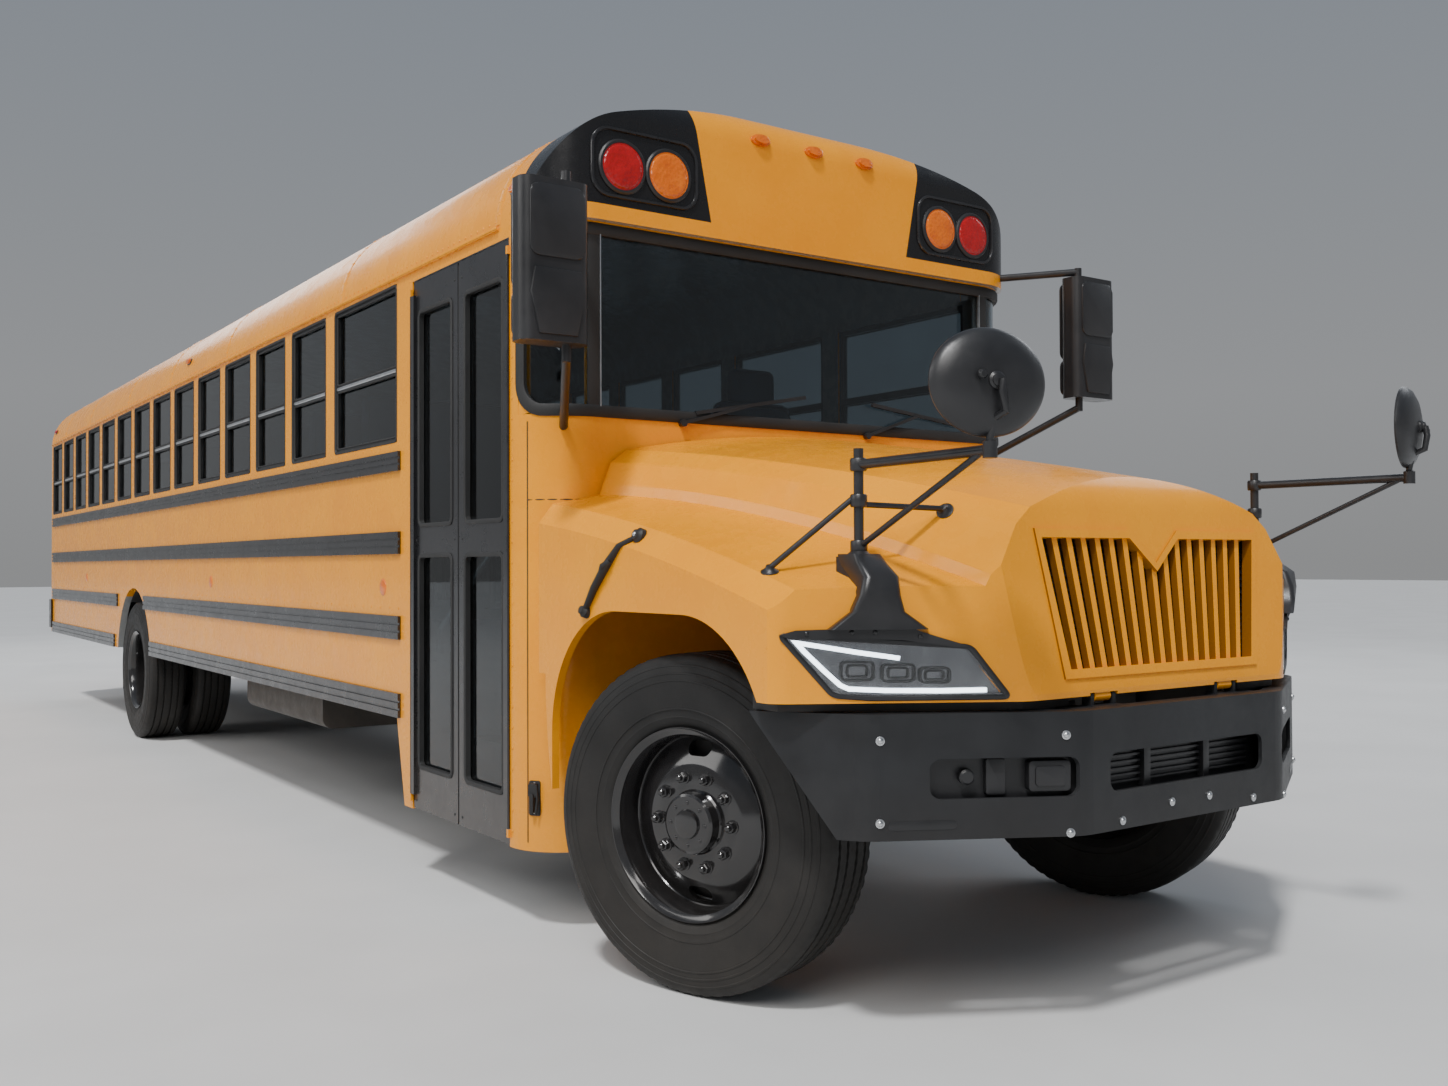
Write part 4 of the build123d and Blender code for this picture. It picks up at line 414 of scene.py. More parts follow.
def rounded(w, h, r, steps=6, cx=0.0, cy=0.0):
    """Outline of a rectangle with round corners."""
    out = []
    for sx, sy, a0 in ((1, 1, 0), (-1, 1, 90), (-1, -1, 180), (1, -1, 270)):
        for k in range(steps + 1):
            a = radians(a0 + 90 * k / steps)
            out.append((cx + sx * (w / 2 - r) + r * cos(a), cy + sy * (h / 2 - r) + r * sin(a)))
    return out


def oval(a, b, count, first=0.0):
    """Outline of an oval, or of a regular shape with few corners."""
    turns = [radians(first) + 2 * pi * k / count for k in range(count)]
    return [(a * cos(t), b * sin(t)) for t in turns]


def band(bm, line, section, place, closed=True):
    """A strip along (u, v) points: section is (sideways, height), place puts (u, v, height) in space."""
    count = len(line)
    rows = []
    for i, (u, v) in enumerate(line):
        sides = []
        for a, b in ((i - 1, i), (i, i + 1)):
            if closed or (a >= 0 and b < count):
                du = line[b % count][0] - line[a][0]
                dv = line[b % count][1] - line[a][1]
                size = hypot(du, dv)
                sides.append((-dv / size, du / size))
        nu = sum(s[0] for s in sides)
        nv = sum(s[1] for s in sides)
        scale = 2 / (nu * nu + nv * nv) if len(sides) == 2 else 1
        rows.append([bm.verts.new(place(u + nu * scale * a, v + nv * scale * a, h)) for a, h in section])
    joined(bm, rows, closed)


def plate(bm, line, place, low, high):
    """A flat plate with that outline between two heights."""
    joined(bm, [[bm.verts.new(place(u, v, h)) for u, v in line] for h in (low, high)])


def strip(width, height, foot=0.0):
    """Section of a low rounded strip for band."""
    w, mid = width / 2, height * 0.5
    return [(-w, foot), (-w, mid), (-w * 0.6, height), (w * 0.6, height), (w, mid), (w, foot)]


def wall(half, foot, top):
    """Section of an upright wall for band."""
    return [(-half, foot), (-half, top), (half, top), (half, foot)]


def stepped(place, end, pitch):
    """Places up to an end, a pitch apart."""
    while place < end:
        yield place
        place += pitch


def on_side(s, spot):
    """A spot given for the left, on side s."""
    return Vector((s * spot[0], spot[1], spot[2]))


def carve(piece, bm):
    """Cuts a closed mesh out of a piece and keeps the result as plain mesh."""
    mesh = bpy.data.meshes.new("cutter")
    bmesh.ops.recalc_face_normals(bm, faces=bm.faces)
    bm.to_mesh(mesh)
    bm.free()
    tool = placed("cutter", mesh)
    modifier = piece.modifiers.new("carve", "BOOLEAN")
    modifier.operation = "DIFFERENCE"
    modifier.solver = "EXACT"
    modifier.object = tool
    result = bpy.data.meshes.new_from_object(piece.evaluated_get(bpy.context.evaluated_depsgraph_get()))
    piece.modifiers.clear()
    piece.data = result
    bpy.data.objects.remove(tool)


# Wheels: kind, plural ending, side, middle and outward direction
WHEEL_R = 0.525
PIN_X, PIN_REACH, TWIN_X, TWIN_APART = 0.9, 0.1, 0.906, 0.1675
WHEELS = []
for s, side in ((-1, "right"), (1, "left")):
    turned = Vector((s * cos(TURN), s * sin(TURN), 0))
    WHEELS.append(("front", "", side, Vector((s * PIN_X, AXLE_F, WHEEL_R)) + turned * PIN_REACH, turned))
    WHEELS.append(("rear", "s", side, Vector((s * TWIN_X, AXLE_R, WHEEL_R)), ACROSS * s))

SIDEWALL = [(0.112, 0.3), (0.118, 0.306), (0.124, 0.32), (0.1285, 0.33), (0.1275, 0.336),
            (0.1325, 0.352), (0.1349, 0.3535), (0.1351, 0.357), (0.1336, 0.3585), (0.1366, 0.385),
            (0.1382, 0.42), (0.1376, 0.44), (0.1392, 0.4415), (0.1388, 0.4455), (0.1368, 0.447),
            (0.1352, 0.462), (0.1364, 0.4635), (0.1356, 0.468), (0.1334, 0.4695), (0.1296, 0.486),
            (0.1306, 0.488), (0.1286, 0.493), (0.1262, 0.494), (0.1225, 0.503), (0.115, 0.515),
            (0.1065, 0.5225)]
GROOVES = (0.072, 0.026, -0.026, -0.072)


def tyre(bm, centre, axis):
    """A highway tyre: bead, bulged sidewalls with raised rings, and ribs whose edges are nicked."""
    top, floor = 0.5245, 0.5125
    profile = list(SIDEWALL)
    groove_rows = []
    for g in GROOVES:
        groove_rows.append(len(profile))
        profile += [(g + 0.0065, top), (g + 0.004, floor), (g - 0.004, floor), (g - 0.0065, top)]
    profile += [(-u, r) for u, r in reversed(SIDEWALL)]
    profile += [(-0.112, 0.2985), (0.112, 0.2985), profile[0]]
    rings = lathe(bm, profile, centre, axis, 216)
    for first in groove_rows:
        for row, push in ((first, 0.0016), (first + 3, -0.0016)):
            for k, v in enumerate(rings[row]):
                v.co += axis * (push if k % 2 else -push)
    for row in (len(SIDEWALL) - 1, len(profile) - 3 - len(SIDEWALL)):
        for v in rings[row][::3]:
            v.co -= (v.co - centre).normalized() * 0.0035


for kind, many, side, middle, out in WHEELS:
    bm = bmesh.new()
    for u in (-TWIN_APART, TWIN_APART) if many else (0,):
        tyre(bm, middle + out * u, out)
    finish_piece(f"{kind}_tyre{many}_{side}", bm, tread, f"wheel{many}_{kind}_{side}", 32,
                 [f"tyre{many}_{kind}_{side}"])

FRONT_DISC = [(0.122, 0), (0.122, 0.036), (0.12, 0.043), (0.111, 0.046), (0.11, 0.084), (0.105, 0.092),
              (0.075, 0.096), (0.07, 0.101), (0.07, 0.172), (0.067, 0.181), (0.06, 0.196), (0.05, 0.22),
              (0.038, 0.242), (0.028, 0.257), (0.024, 0.264), (0.028, 0.2675), (0.06, 0.268), (0.095, 0.27),
              (0.11, 0.276), (0.117, 0.285), (0.121, 0.292), (0.1245, 0.2955), (0.125, 0.298),
              (-0.125, 0.298), (-0.121, 0.293), (-0.11, 0.276), (-0.095, 0.27), (-0.01, 0.267),
              (0.008, 0.258), (0.02, 0.236), (0.034, 0.212), (0.046, 0.188), (0.056, 0.17), (0.056, 0.098),
              (-0.005, 0.095), (-0.005, 0.031), (0.1, 0.031), (0.1, 0)]
REAR_DISC = [(0.15, 0), (0.15, 0.078), (0.143, 0.088), (0.02, 0.095), (0.014, 0.098),
             (0.014, 0.176), (0.02, 0.19), (0.042, 0.22), (0.062, 0.245), (0.076, 0.262),
             (0.09, 0.2675), (0.2, 0.268), (0.262, 0.27), (0.277, 0.276), (0.284, 0.285),
             (0.288, 0.292), (0.292, 0.2955), (0.2925, 0.298), (-0.2925, 0.298), (-0.284, 0.285),
             (-0.262, 0.27), (-0.09, 0.2675), (-0.076, 0.262), (-0.042, 0.22), (-0.014, 0.178),
             (-0.014, 0.098), (-0.09, 0.095), (-0.09, 0.0505), (0.062, 0.0505), (0.062, 0)]
# Disc, how far out the nuts and the cover stand, and the brake drum's face, back and bore
RIMS = {"front": (FRONT_DISC, 0.07, 0.11, -0.012, -0.105, 0.102),
        "rear": (REAR_DISC, 0.014, 0.15, -0.1, -0.27, 0.11)}
STUD_RING, SCREW_RING = 0.142875, 0.066


def ring_of(middle, out, ring, count, first=0.0):
    """Angle and place of each of count points on a ring, counted from its top."""
    for i in range(count):
        a = first + 2 * pi * i / count
        yield a, middle + (UP * cos(a) + out.cross(UP) * sin(a)) * ring


def wheel_nuts(bm, middle, out, face, cover):
    """Ten nuts on washers with stud ends, and the small screws of the hub's cover."""
    for a, foot in ring_of(middle + out * face, out, STUD_RING, 10, radians(18)):
        knob(bm, foot, out, 20, (-0.002, 0.0215), (0.003, 0.0215), (0.004, 0.018))
        knob(bm, foot, out, 6, (0.003, 0.0175), (0.02, 0.0175), (0.023, 0.0145), start=a)
        knob(bm, foot, out, 12, (0.02, 0.0098), (0.031, 0.0098), (0.034, 0.007))
    for a, foot in ring_of(middle + out * (cover - 0.001), out, SCREW_RING, 8):
        dome(bm, foot, out, 0.007, 0.006)


def hand_holes(middle, out):
    """Cutter for the two oval hand holes, above and below the hub."""
    bm = bmesh.new()
    for s in (-1, 1):
        hole = rounded(0.088, 0.047, 0.0234, 8, 0, s * 0.226)
        prism(bm, hole, middle - out * 0.06, UP.cross(out), UP, 0.15)
    return bm


for kind, many, side, middle, out in WHEELS:
    disc, face, cover, near, far, bore = RIMS[kind]
    body = f"wheel{many}_{kind}_{side}"
    bm = bmesh.new()
    lathe(bm, disc, middle, out, 128)
    rim = finish_piece(f"{kind}_rim_{side}", bm, rim_black, body, 28, [f"rim{many}_{kind}_{side}"])
    carve(rim, hand_holes(middle, out))
    bm = bmesh.new()
    drum = [(near, bore), (near, 0.235), (near - 0.012, 0.258), (far, 0.258), (far, bore), (near, bore)]
    lathe(bm, drum, middle, out)
    finish_piece(f"{kind}_brake_drum_{side}", bm, iron, body, 30)
    bm = bmesh.new()
    wheel_nuts(bm, middle, out, face, cover)
    finish_piece(f"{kind}_wheel_nuts_{side}", bm, rim_black, body, 30)

# Round lamps by (across, height, radius), each a domed lens in a black ring
LARGE, SMALL = 0.089, 0.03


def both_sides(*spots):
    """The same spots on the right and on the left."""
    return [(s * x, z, r) for s in (-1, 1) for x, z, r in spots]


RED_FRONT = both_sides((0.897, 2.775, LARGE))
AMBER_FRONT = both_sides((0.698, 2.775, LARGE))
RED_REAR = both_sides((0.9, 2.7, LARGE), (1.08, 1.56, 0.09), (1.08, 1.3, 0.05), (0.3, 3.0, SMALL))
RED_REAR.append((0, 3.0, SMALL))
AMBER_REAR = both_sides((0.698, 2.74, LARGE), (0.88, 1.3, 0.05))
CAP_Y = AXLE_F + 0.655


def round_lamp(lens_bm, ring_bm, centre, out, r):
    """A lens with a flat rim, a step and a crowned middle, in a ring that has screws on a large lamp."""
    steps = 72 if r > 0.06 else 36
    profile = [(-0.001, 0), (-0.001, r * 0.985), (0.006, r * 0.985), (0.0075, r * 0.965), (0.0075, r * 0.9),
               (0.0095, r * 0.87)]
    for k in range(1, 9):
        a = k / 8 * pi / 2
        profile.append((0.0095 + 0.0045 * sin(a), r * 0.87 * cos(a)))
    lathe(lens_bm, profile, centre, out, steps)
    ring = [(-0.001, r), (-0.001, r + 0.013), (0.005, r + 0.012), (0.0095, r + 0.006), (0.0095, r - 0.002),
            (0.004, r - 0.003), (-0.001, r)]
    lathe(ring_bm, ring, centre, out, steps)
    if r > 0.06:
        u, v = frame_of(out)
        for i in range(6):
            a = radians(30 + 60 * i)
            screw = centre + (u * cos(a) + v * sin(a)) * (r + 0.004) + out * 0.008
            dome(ring_bm, screw, out, 0.004, 0.003, 8, 2)


red_bm, amber_bm, ring_bm = bmesh.new(), bmesh.new(), bmesh.new()
for group, bm, y, out in (
    (RED_FRONT, red_bm, CAP_Y, AHEAD), (AMBER_FRONT, amber_bm, CAP_Y, AHEAD),
    (RED_REAR, red_bm, TAIL, BEHIND), (AMBER_REAR, amber_bm, TAIL, BEHIND),
):
    for x, z, r in group:
        round_lamp(bm, ring_bm, Vector((x, y, z)), out, r)
# Clearance lamps on the brow: an oval foot that follows the curve and a raised lens
BROW_OUT = Vector((0, -0.981, 0.193)).normalized()
for x in (-0.268, 0.0, 0.268):
    foot = Vector((x, CAP_Y + 0.0025, 2.985))
    for grow, start, top in ((1.0, 0.0, 0.01), (0.78, 0.008, 0.021)):
        outline = oval(0.046 * grow, 0.023 * grow, 28)
        prism(amber_bm, outline, foot + BROW_OUT * start, ACROSS, BROW_OUT.cross(ACROSS), top - start, 0.004)
finish_piece("warning_lamps_red", red_bm, red_lens, "coach", 24, ["red_lamps"])
finish_piece("warning_lamps_amber", amber_bm, amber_lens, "coach", 24, ["amber_lamps"])
finish_piece("lamp_bezels", ring_bm, housing, "coach", 30)

# Raised ring round each pair of warning lamps on the cap
bm = bmesh.new()
for s in (-1, 1):
    loop = rounded(0.45, 0.245, 0.07, 8, s * 0.7975, 2.785)
    band(bm, loop, strip(0.014, 0.008, -0.002), lambda u, v, h: Vector((u, CAP_Y - h, v)))
finish_piece("lamp_surrounds", bm, black)

# Headlamps: an upright plane turned back to the side, x across and z up
LAMP_TILT = 0.601
LAMP_OUT = {s: Vector((s * 0.515, -0.857, 0)) for s in (-1, 1)}
LAMP_EDGE = [(0.741, 1.098), (0.65, 0.962), (0.975, 0.962), (1.062, 0.97), (1.185, 1.132)]
LAMP_MIDDLE, EASE = (0.92, 1.04), 0.016


def on_lamp(s):
    """Puts (x, z, height) on the lamp's plane of side s."""
    return lambda x, z, h: Vector((s * x, AXLE_F - 1.004 + (x - 0.6) * LAMP_TILT, z)) + LAMP_OUT[s] * h


def lamp_loop(grow):
    """The lamp's outline with eased corners, grown sideways by grow about its middle."""
    points = []
    for i, (x, z) in enumerate(LAMP_EDGE):
        before, after = LAMP_EDGE[i - 1], LAMP_EDGE[(i + 1) % len(LAMP_EDGE)]
        a, b = (Vector((p[0] - x, p[1] - z)).normalized() * EASE for p in (before, after))
        for k in range(6):
            corner = a * (1 - k / 5) ** 2 + b * (k / 5) ** 2
            points.append((x + corner[0], z + corner[1]))
    cx, cz = LAMP_MIDDLE
    return [(cx + (x - cx) * (1 + grow / 0.26), cz + (z - cz) * (1 + grow / 0.08)) for x, z in points]


lamp_body, lamp_cover, lamp_guide, lamp_cells, lamp_frame, brow_bm = (bmesh.new() for _ in range(6))
GUIDE = [(0.905, 1.068), (1.00, 1.084), (1.146, 1.112), (1.128, 1.088), (1.082, 1.036), (1.044, 0.996),
         (1.024, 0.986), (0.94, 0.981), (0.81, 0.979), (0.7, 0.98)]
CELLS = ((1.004, 1.034, 0.076, 0.05), (0.908, 1.028, 0.076, 0.046), (0.822, 1.021, 0.07, 0.04))
CELL_WALL = [(-0.004, -0.02), (-0.003, -0.007), (0.003, -0.006), (0.004, -0.02)]
CELL_INSIDE = [(-0.003, -0.02), (-0.002, -0.011), (0.003, -0.01), (0.004, -0.02)]
# Black foot under each hood mirror's pod, over the lamp
BROW = [(1.188, 1.134), (1.15, 1.146), (1.03, 1.15), (0.985, 1.165), (0.9, 1.163), (0.86, 1.142),
        (0.742, 1.1), (0.768, 1.098), (0.9, 1.118), (1.05, 1.124), (1.16, 1.122)]
for s in (-1, 1):
    deep = on_lamp(s)
    plate(lamp_body, lamp_loop(-0.004), deep, -0.028, -0.02)
    band(lamp_body, lamp_loop(-0.006), wall(0.004, -0.024, -0.003), deep)
    plate(lamp_cover, lamp_loop(-0.005), deep, -0.0035, -0.0005)
    band(lamp_frame, lamp_loop(0.001), strip(0.014, 0.005, -0.01), deep)
    band(lamp_guide, GUIDE, wall(0.006, -0.018, -0.008), deep, closed=False)
    for x, z, w, h in CELLS:
        band(lamp_cells, rounded(w, h, 0.012, 4, x, z), CELL_WALL, deep)
        band(lamp_cells, rounded(w * 0.62, h * 0.62, 0.008, 4, x, z), CELL_INSIDE, deep)
    plate(brow_bm, BROW, deep, -0.004, 0.012)
    for x, z in ((1.125, 1.137), (1.02, 1.14), (0.965, 1.14), (0.86, 1.128)):
        dome(brow_bm, deep(x, z, 0.012), LAMP_OUT[s], 0.007, 0.005, 12)
finish_piece("headlamp_housings", lamp_body, reflector, "hood", 30)
finish_piece("headlamp_frames", lamp_frame, housing, "hood")
finish_piece("headlamp_cells", lamp_cells, dark_alloy, "hood", 30)
finish_piece("headlamp_guides", lamp_guide, light_guide, "hood", 30)
finish_piece("headlamp_covers", lamp_cover, clear, "hood", 30, ["headlamps"])
finish_piece("headlamp_brows", brow_bm, housing, "hood", 30)

# Windshield: gasket that follows the round corners, corner fillers and post trims
SKIN_END = 1.297
SHIELD_W, SHIELD_LOW, SHIELD_TOP = SKIN_END - 0.012, SILL + 0.019, HEAD - 0.012
LOW_R, TOP_R = 0.105, 0.05


def on_skin(u, z, h):
    """Point on the body's front: u runs across from the middle and round the corner, h stands out."""
    flat = HALF - CORNER
    if abs(u) <= flat:
        return Vector((u, FRONT - h, z))
    a = (abs(u) - flat) / CORNER
    r = CORNER + h
    return Vector((copysign(flat + r * sin(a), u), FRONT + CORNER - r * cos(a), z))


def quarter(cx, cz, r, first):
    """Ten points of a quarter circle from an angle in degrees."""
    turns = [radians(first + 10 * k) for k in range(10)]
    return [(cx + r * cos(a), cz + r * sin(a)) for a in turns]


def shield_loop():
    """Outline of the windshield on the skin, with points close enough to bend round the corners."""
    corners = [
        quarter(SHIELD_W - TOP_R, SHIELD_TOP - TOP_R, TOP_R, 0),
        quarter(TOP_R - SHIELD_W, SHIELD_TOP - TOP_R, TOP_R, 90),
        quarter(LOW_R - SHIELD_W, SHIELD_LOW + LOW_R, LOW_R, 180),
        quarter(SHIELD_W - LOW_R, SHIELD_LOW + LOW_R, LOW_R, 270),
    ]
    out = []
    for arc, after in zip(corners, corners[1:] + corners[:1]):
        (x0, z0), (x1, z1) = arc[-1], after[0]
        steps = max(1, int(hypot(x1 - x0, z1 - z0) / 0.03))
        out += arc
        out += [(x0 + (x1 - x0) * k / steps, z0 + (z1 - z0) * k / steps) for k in range(1, steps)]
    return out


bm, fill_bm, trim_bm = bmesh.new(), bmesh.new(), bmesh.new()
band(bm, shield_loop(), strip(0.044, 0.009, -0.012), on_skin)
for s in (-1, 1):
    heights = (SILL + 0.03, 2.2, HEAD - 0.03)
    band(bm, [(s * 0.995, z) for z in heights], strip(0.05, 0.004, -0.012), on_skin, closed=False)
    band(trim_bm, [(s * 0.972, z) for z in heights], strip(0.006, 0.007, -0.004), on_skin, closed=False)
    arc = [(s * x, z) for x, z in quarter(SHIELD_W - LOW_R, SHIELD_LOW + LOW_R, LOW_R, 270)]
    x0, z0 = s * (SKIN_END + 0.004), SILL + 0.004
    rows = [[fill_bm.verts.new(on_skin(x0 + (x - x0) * t, z0 + (z - z0) * t, -0.001)) for x, z in arc]
            for t in (0, 0.25, 0.5, 0.75, 1)]
    for a, b in zip(rows, rows[1:]):
        for k in range(len(arc) - 1):
            fill_bm.faces.new((a[k], a[k + 1], b[k + 1], b[k]))
bmesh.ops.remove_doubles(fill_bm, verts=fill_bm.verts, dist=0.0002)
finish_piece("windshield_gasket", bm, rubber)
finish_piece("windshield_corner_fillers", fill_bm, yellow, "coach", 60)
finish_piece("windshield_post_trims", trim_bm, silver)

# Hood mirrors: black shell, convex glass and the bent arm that carries it
shell_bm, glass_bm, arm_bm = bmesh.new(), bmesh.new(), bmesh.new()
LOOK_X, LOOK_Y = 0.3, 0.954
MIRROR_AT = Vector((0.98, AXLE_F - 1.3 + 0.14 * LOOK_X + 0.035 * LOOK_Y, 1.765))
ELBOW = Vector((0.98, MIRROR_AT.y, 1.6))
POST = Vector((0.937, AXLE_F - 0.69, 1.5))
for s in (-1, 1):
    middle = on_side(s, MIRROR_AT)
    face = Vector((-s * LOOK_X, LOOK_Y, 0))
    shell = [(-0.035, 0), (-0.0345, 0.025), (-0.031, 0.062), (-0.023, 0.098), (-0.01, 0.126), (0.002, 0.137),
             (0.009, 0.14), (0.014, 0.1395), (0.016, 0.136), (0.014, 0.131), (0.0, 0.128), (-0.02, 0.0)]
    lathe(shell_bm, shell, middle, face)
    convex = [(0.012, 0.1325), (0.0155, 0.126), (0.023, 0.1), (0.029, 0.068), (0.0335, 0.034), (0.035, 0),
              (0.01, 0)]
    lathe(glass_bm, convex, middle, face)
    back = middle - face * 0.034
    for dx, dz in ((-0.045, 0.012), (0.045, -0.012), (0.0, 0.0)):
        screw = back + Vector((dx, 0, dz)) + face * 0.002
        knob(arm_bm, screw, -face, 12, (-0.004, 0.012), (0.004, 0.012), (0.009, 0.008))
    lathe(arm_bm, [(0.0, 0), (0.0, 0.022), (0.006, 0.022), (0.01, 0.016), (0.014, 0.016), (0.02, 0)], back,
          -face, 24)
    foot = on_side(s, ELBOW)
    bend = [foot, foot + UP * 0.03, foot + Vector((0, -0.012, 0.075)),
            back + Vector((-s * 0.012, -0.02, -0.075)), back + Vector((0, -0.022, -0.03)),
            back + Vector((0, -0.016, 0))]
    sweep(arm_bm, bend, 0.01, 12)
for bm in (shell_bm, glass_bm):
    # The heads are wider than they are tall
    for v in bm.verts:
        s = 1 if v.co.x > 0 else -1
        off = v.co - on_side(s, MIRROR_AT)
        sideways = Vector((LOOK_Y, s * LOOK_X, 0))
        v.co += sideways * (off.dot(sideways) * 0.13) - UP * (off.z * 0.04)
finish_piece("mirror_shells", shell_bm, housing, "hood", 30, ["hood_mirrors"])
finish_piece("mirror_faces", glass_bm, mirror, "hood")
finish_piece("mirror_stems", arm_bm, housing, "hood")

# Braces of the hood mirrors, their feet on the hood and the clamps on the posts
bm = bmesh.new()
for s in (-1, 1):
    post, elbow = on_side(s, POST), on_side(s, ELBOW)
    for foot, rise, normal in (
        ((1.127, AXLE_F - 0.531, 1.303), 0.02, (0.23, -0.27, 0.94)),
        ((0.654, AXLE_F - 0.74, 1.475), -0.01, (0.77, -0.32, 0.55)),
    ):
        foot, normal = on_side(s, foot), on_side(s, normal)
        sweep(bm, [post + UP * rise, foot + normal.normalized() * 0.012], 0.0085, 12)
        lathe(bm, [(-0.006, 0), (-0.006, 0.026), (0.003, 0.026), (0.006, 0.02), (0.014, 0.012),
                   (0.02, 0.01), (0.022, 0)], foot, normal, 24)
    sweep(bm, [post - UP * 0.13, elbow + BEHIND * 0.02], 0.0085, 12)
    for z in (1.372, 1.5, 1.6):
        lathe(bm, [(-0.018, 0.013), (-0.018, 0.021), (-0.014, 0.024), (0.014, 0.024), (0.018, 0.021),
                   (0.018, 0.013), (-0.018, 0.013)], Vector((post.x, post.y, z)), UP, 24)
    knob(bm, elbow, UP, 20, (-0.02, 0.018), (0.02, 0.018), (0.024, 0.012))
    pod = Vector((post.x, post.y, 1.345))
    knob(bm, pod, UP, 32, (-0.004, 0.034), (0.006, 0.034), (0.018, 0.02), (0.04, 0.018))
finish_piece("mirror_braces", bm, housing, "hood")

# Pod covers over the feet of the mirror posts: height, turn, half width, half depth and place of each row
bm = bmesh.new()
POD_ROWS = [(1.352, 0.0, 0.047, 0.047, -0.69), (1.325, 0.2, 0.049, 0.06, -0.705),
            (1.29, 0.5, 0.052, 0.084, -0.735), (1.24, 0.8, 0.058, 0.085, -0.745),
            (1.195, 1.0, 0.074, 0.08, -0.75), (1.165, 1.0, 0.115, 0.075, -0.752),
            (1.148, 1.0, 0.138, 0.072, -0.753)]
for s in (-1, 1):
    rows = []
    for z, turn, wide, deep, y in POD_ROWS:
        a = radians(31) * turn
        along = Vector((s * cos(a), sin(a), 0))
        out = Vector((s * sin(a), -cos(a), 0))
        middle = Vector((s * POST.x, AXLE_F + y, z))
        outline = rounded(2 * wide, 2 * deep, 0.018, 4)
        rows.append([bm.verts.new(middle + along * p + out * q) for p, q in outline])
    joined(bm, rows)
finish_piece("mirror_pod_covers", bm, housing, "hood", 50)


# Paint that differs by place: masks are built from a piece's own coordinates
def painted_over(base, name, colour, mask):
    """A copy of a paint with another colour where mask(tree) is 1."""
    m = base.copy()
    m.name = name
    t = m.node_tree
    socket = t.nodes["Principled BSDF"].inputs["Base Color"]
    t.links.new(mixed(t, mask(t), socket.links[0].from_socket, colour), socket)
    return m


def inner_faces(t):
    """1 on faces that look towards the middle of the coach."""
    place = node(t, "ShaderNodeTexCoord")
    away = node(t, "ShaderNodeVectorMath", {0: place.outputs["Object"]}, operation="SUBTRACT")
    away.inputs[1].default_value = (0, 0.9, 2.0)
    dot = node(t, "ShaderNodeVectorMath", {0: away.outputs[0], 1: place.outputs["Normal"]},
               operation="DOT_PRODUCT")
    return maths(t, "LESS_THAN", dot.outputs["Value"], 0.0)


def cap_corners(t):
    """1 on the cap's outer corners, where the warning lamps sit."""
    axes = axes_of(t)
    line = maths(t, "MULTIPLY_ADD", axes["Z"], 0.195, 0.505 - 2.645 * 0.195)
    outside = maths(t, "SUBTRACT", maths(t, "ABSOLUTE", axes["X"]), line)
    above = maths(t, "MULTIPLY_ADD", axes["Z"], 1.0, -2.628)
    before = maths(t, "MULTIPLY_ADD", axes["Y"], -1.0, AXLE_F + 0.88)
    sharp = [remap(t, value, 0.0, 0.002) for value in (outside, above, before)]
    return maths(t, "MULTIPLY", maths(t, "MULTIPLY", sharp[0], sharp[1]), sharp[2])


def slat_side_shade(t):
    """Rises on the sides of the grille's slats: painted shade in the gaps between them."""
    return remap(t, maths(t, "ABSOLUTE", axes_of(t, "Normal")["X"]), 0.25, 0.85, 0.0, 0.85)


coach_paint = painted_over(yellow, "coach_paint", (0.3, 0.31, 0.31), inner_faces)
cap_paint = painted_over(coach_paint, "cap_paint", (0.01, 0.01, 0.011), cap_corners)
for name in ("wall_left", "wall_right", "front_wall", "roof", "rear_wall", "rear_door_panel"):
    nodes[name].data.materials[0] = coach_paint
nodes["front_cap"].data.materials[0] = cap_paint
# The sides of the grille's slats are painted dark brown: painted shade in the gaps between them
nodes["grille"].data.materials[0] = painted_over(yellow, "grille_paint", (0.14, 0.045, 0.002), slat_side_shade)

# Soft edges on pieces that keep their CAD mesh
SOFT_EDGES = {
    "grille": 0.005, "front_bumper": 0.007, "rear_bumper": 0.004, "body_mirrors": 0.012, "rub_rails": 0.0025,
    "hatch_lid_front": 0.008, "hatch_lid_rear": 0.008, "hatch_frames": 0.003, "mirror_posts": 0.004,
    "door_front_panel": 0.004, "door_rear_panel": 0.004, "window_sashes": 0.002, "steering_wheel": 0.009,
    "dashboard": 0.012, "stop_sign": 0.001, "stop_bracket": 0.003, "rear_door_panel": 0.004,
    "fuel_tank": 0.006, "engine_block": 0.02, "wipers": 0.002, "step_well": 0.002,
}
for name, width in SOFT_EDGES.items():
    soft = nodes[name].modifiers.new("soft", "BEVEL")
    soft.width = width
    soft.segments = 2
    soft.limit_method = "ANGLE"
    soft.angle_limit = radians(32)


# Seats
def cushion(bm, low, high, r, crown, axis, way):
    """A stuffed block: rounded edges and one face, along axis in direction way, crowned."""
    block = bmesh.new()
    bmesh.ops.create_cube(block, size=2.0)
    bmesh.ops.subdivide_edges(block, edges=block.edges[:], cuts=9, use_grid_fill=True)
    low, high = corners_of(low, high)
    half, middle = (high - low) / 2, (high + low) / 2
    for v in block.verts:
        p = Vector((copysign(1 - (1 - abs(c)) ** 1.7, c) for c in v.co))
        q = Vector((p[i] * half[i] for i in range(3)))
        core = Vector((max(-(half[i] - r), min(half[i] - r, q[i])) for i in range(3)))
        if (q - core).length > 1e-6:
            q = core + (q - core).normalized() * r
        if p[axis] * way > 0.99:
            swell = 1.0
            for i in range(3):
                if i != axis:
                    swell *= 1 - p[i] ** 4
            q[axis] += way * crown * swell
        v.co = middle + q
    mesh = bpy.data.meshes.new("cushion")
    block.to_mesh(mesh)
    block.free()
    bm.from_mesh(mesh)
    bpy.data.meshes.remove(mesh)


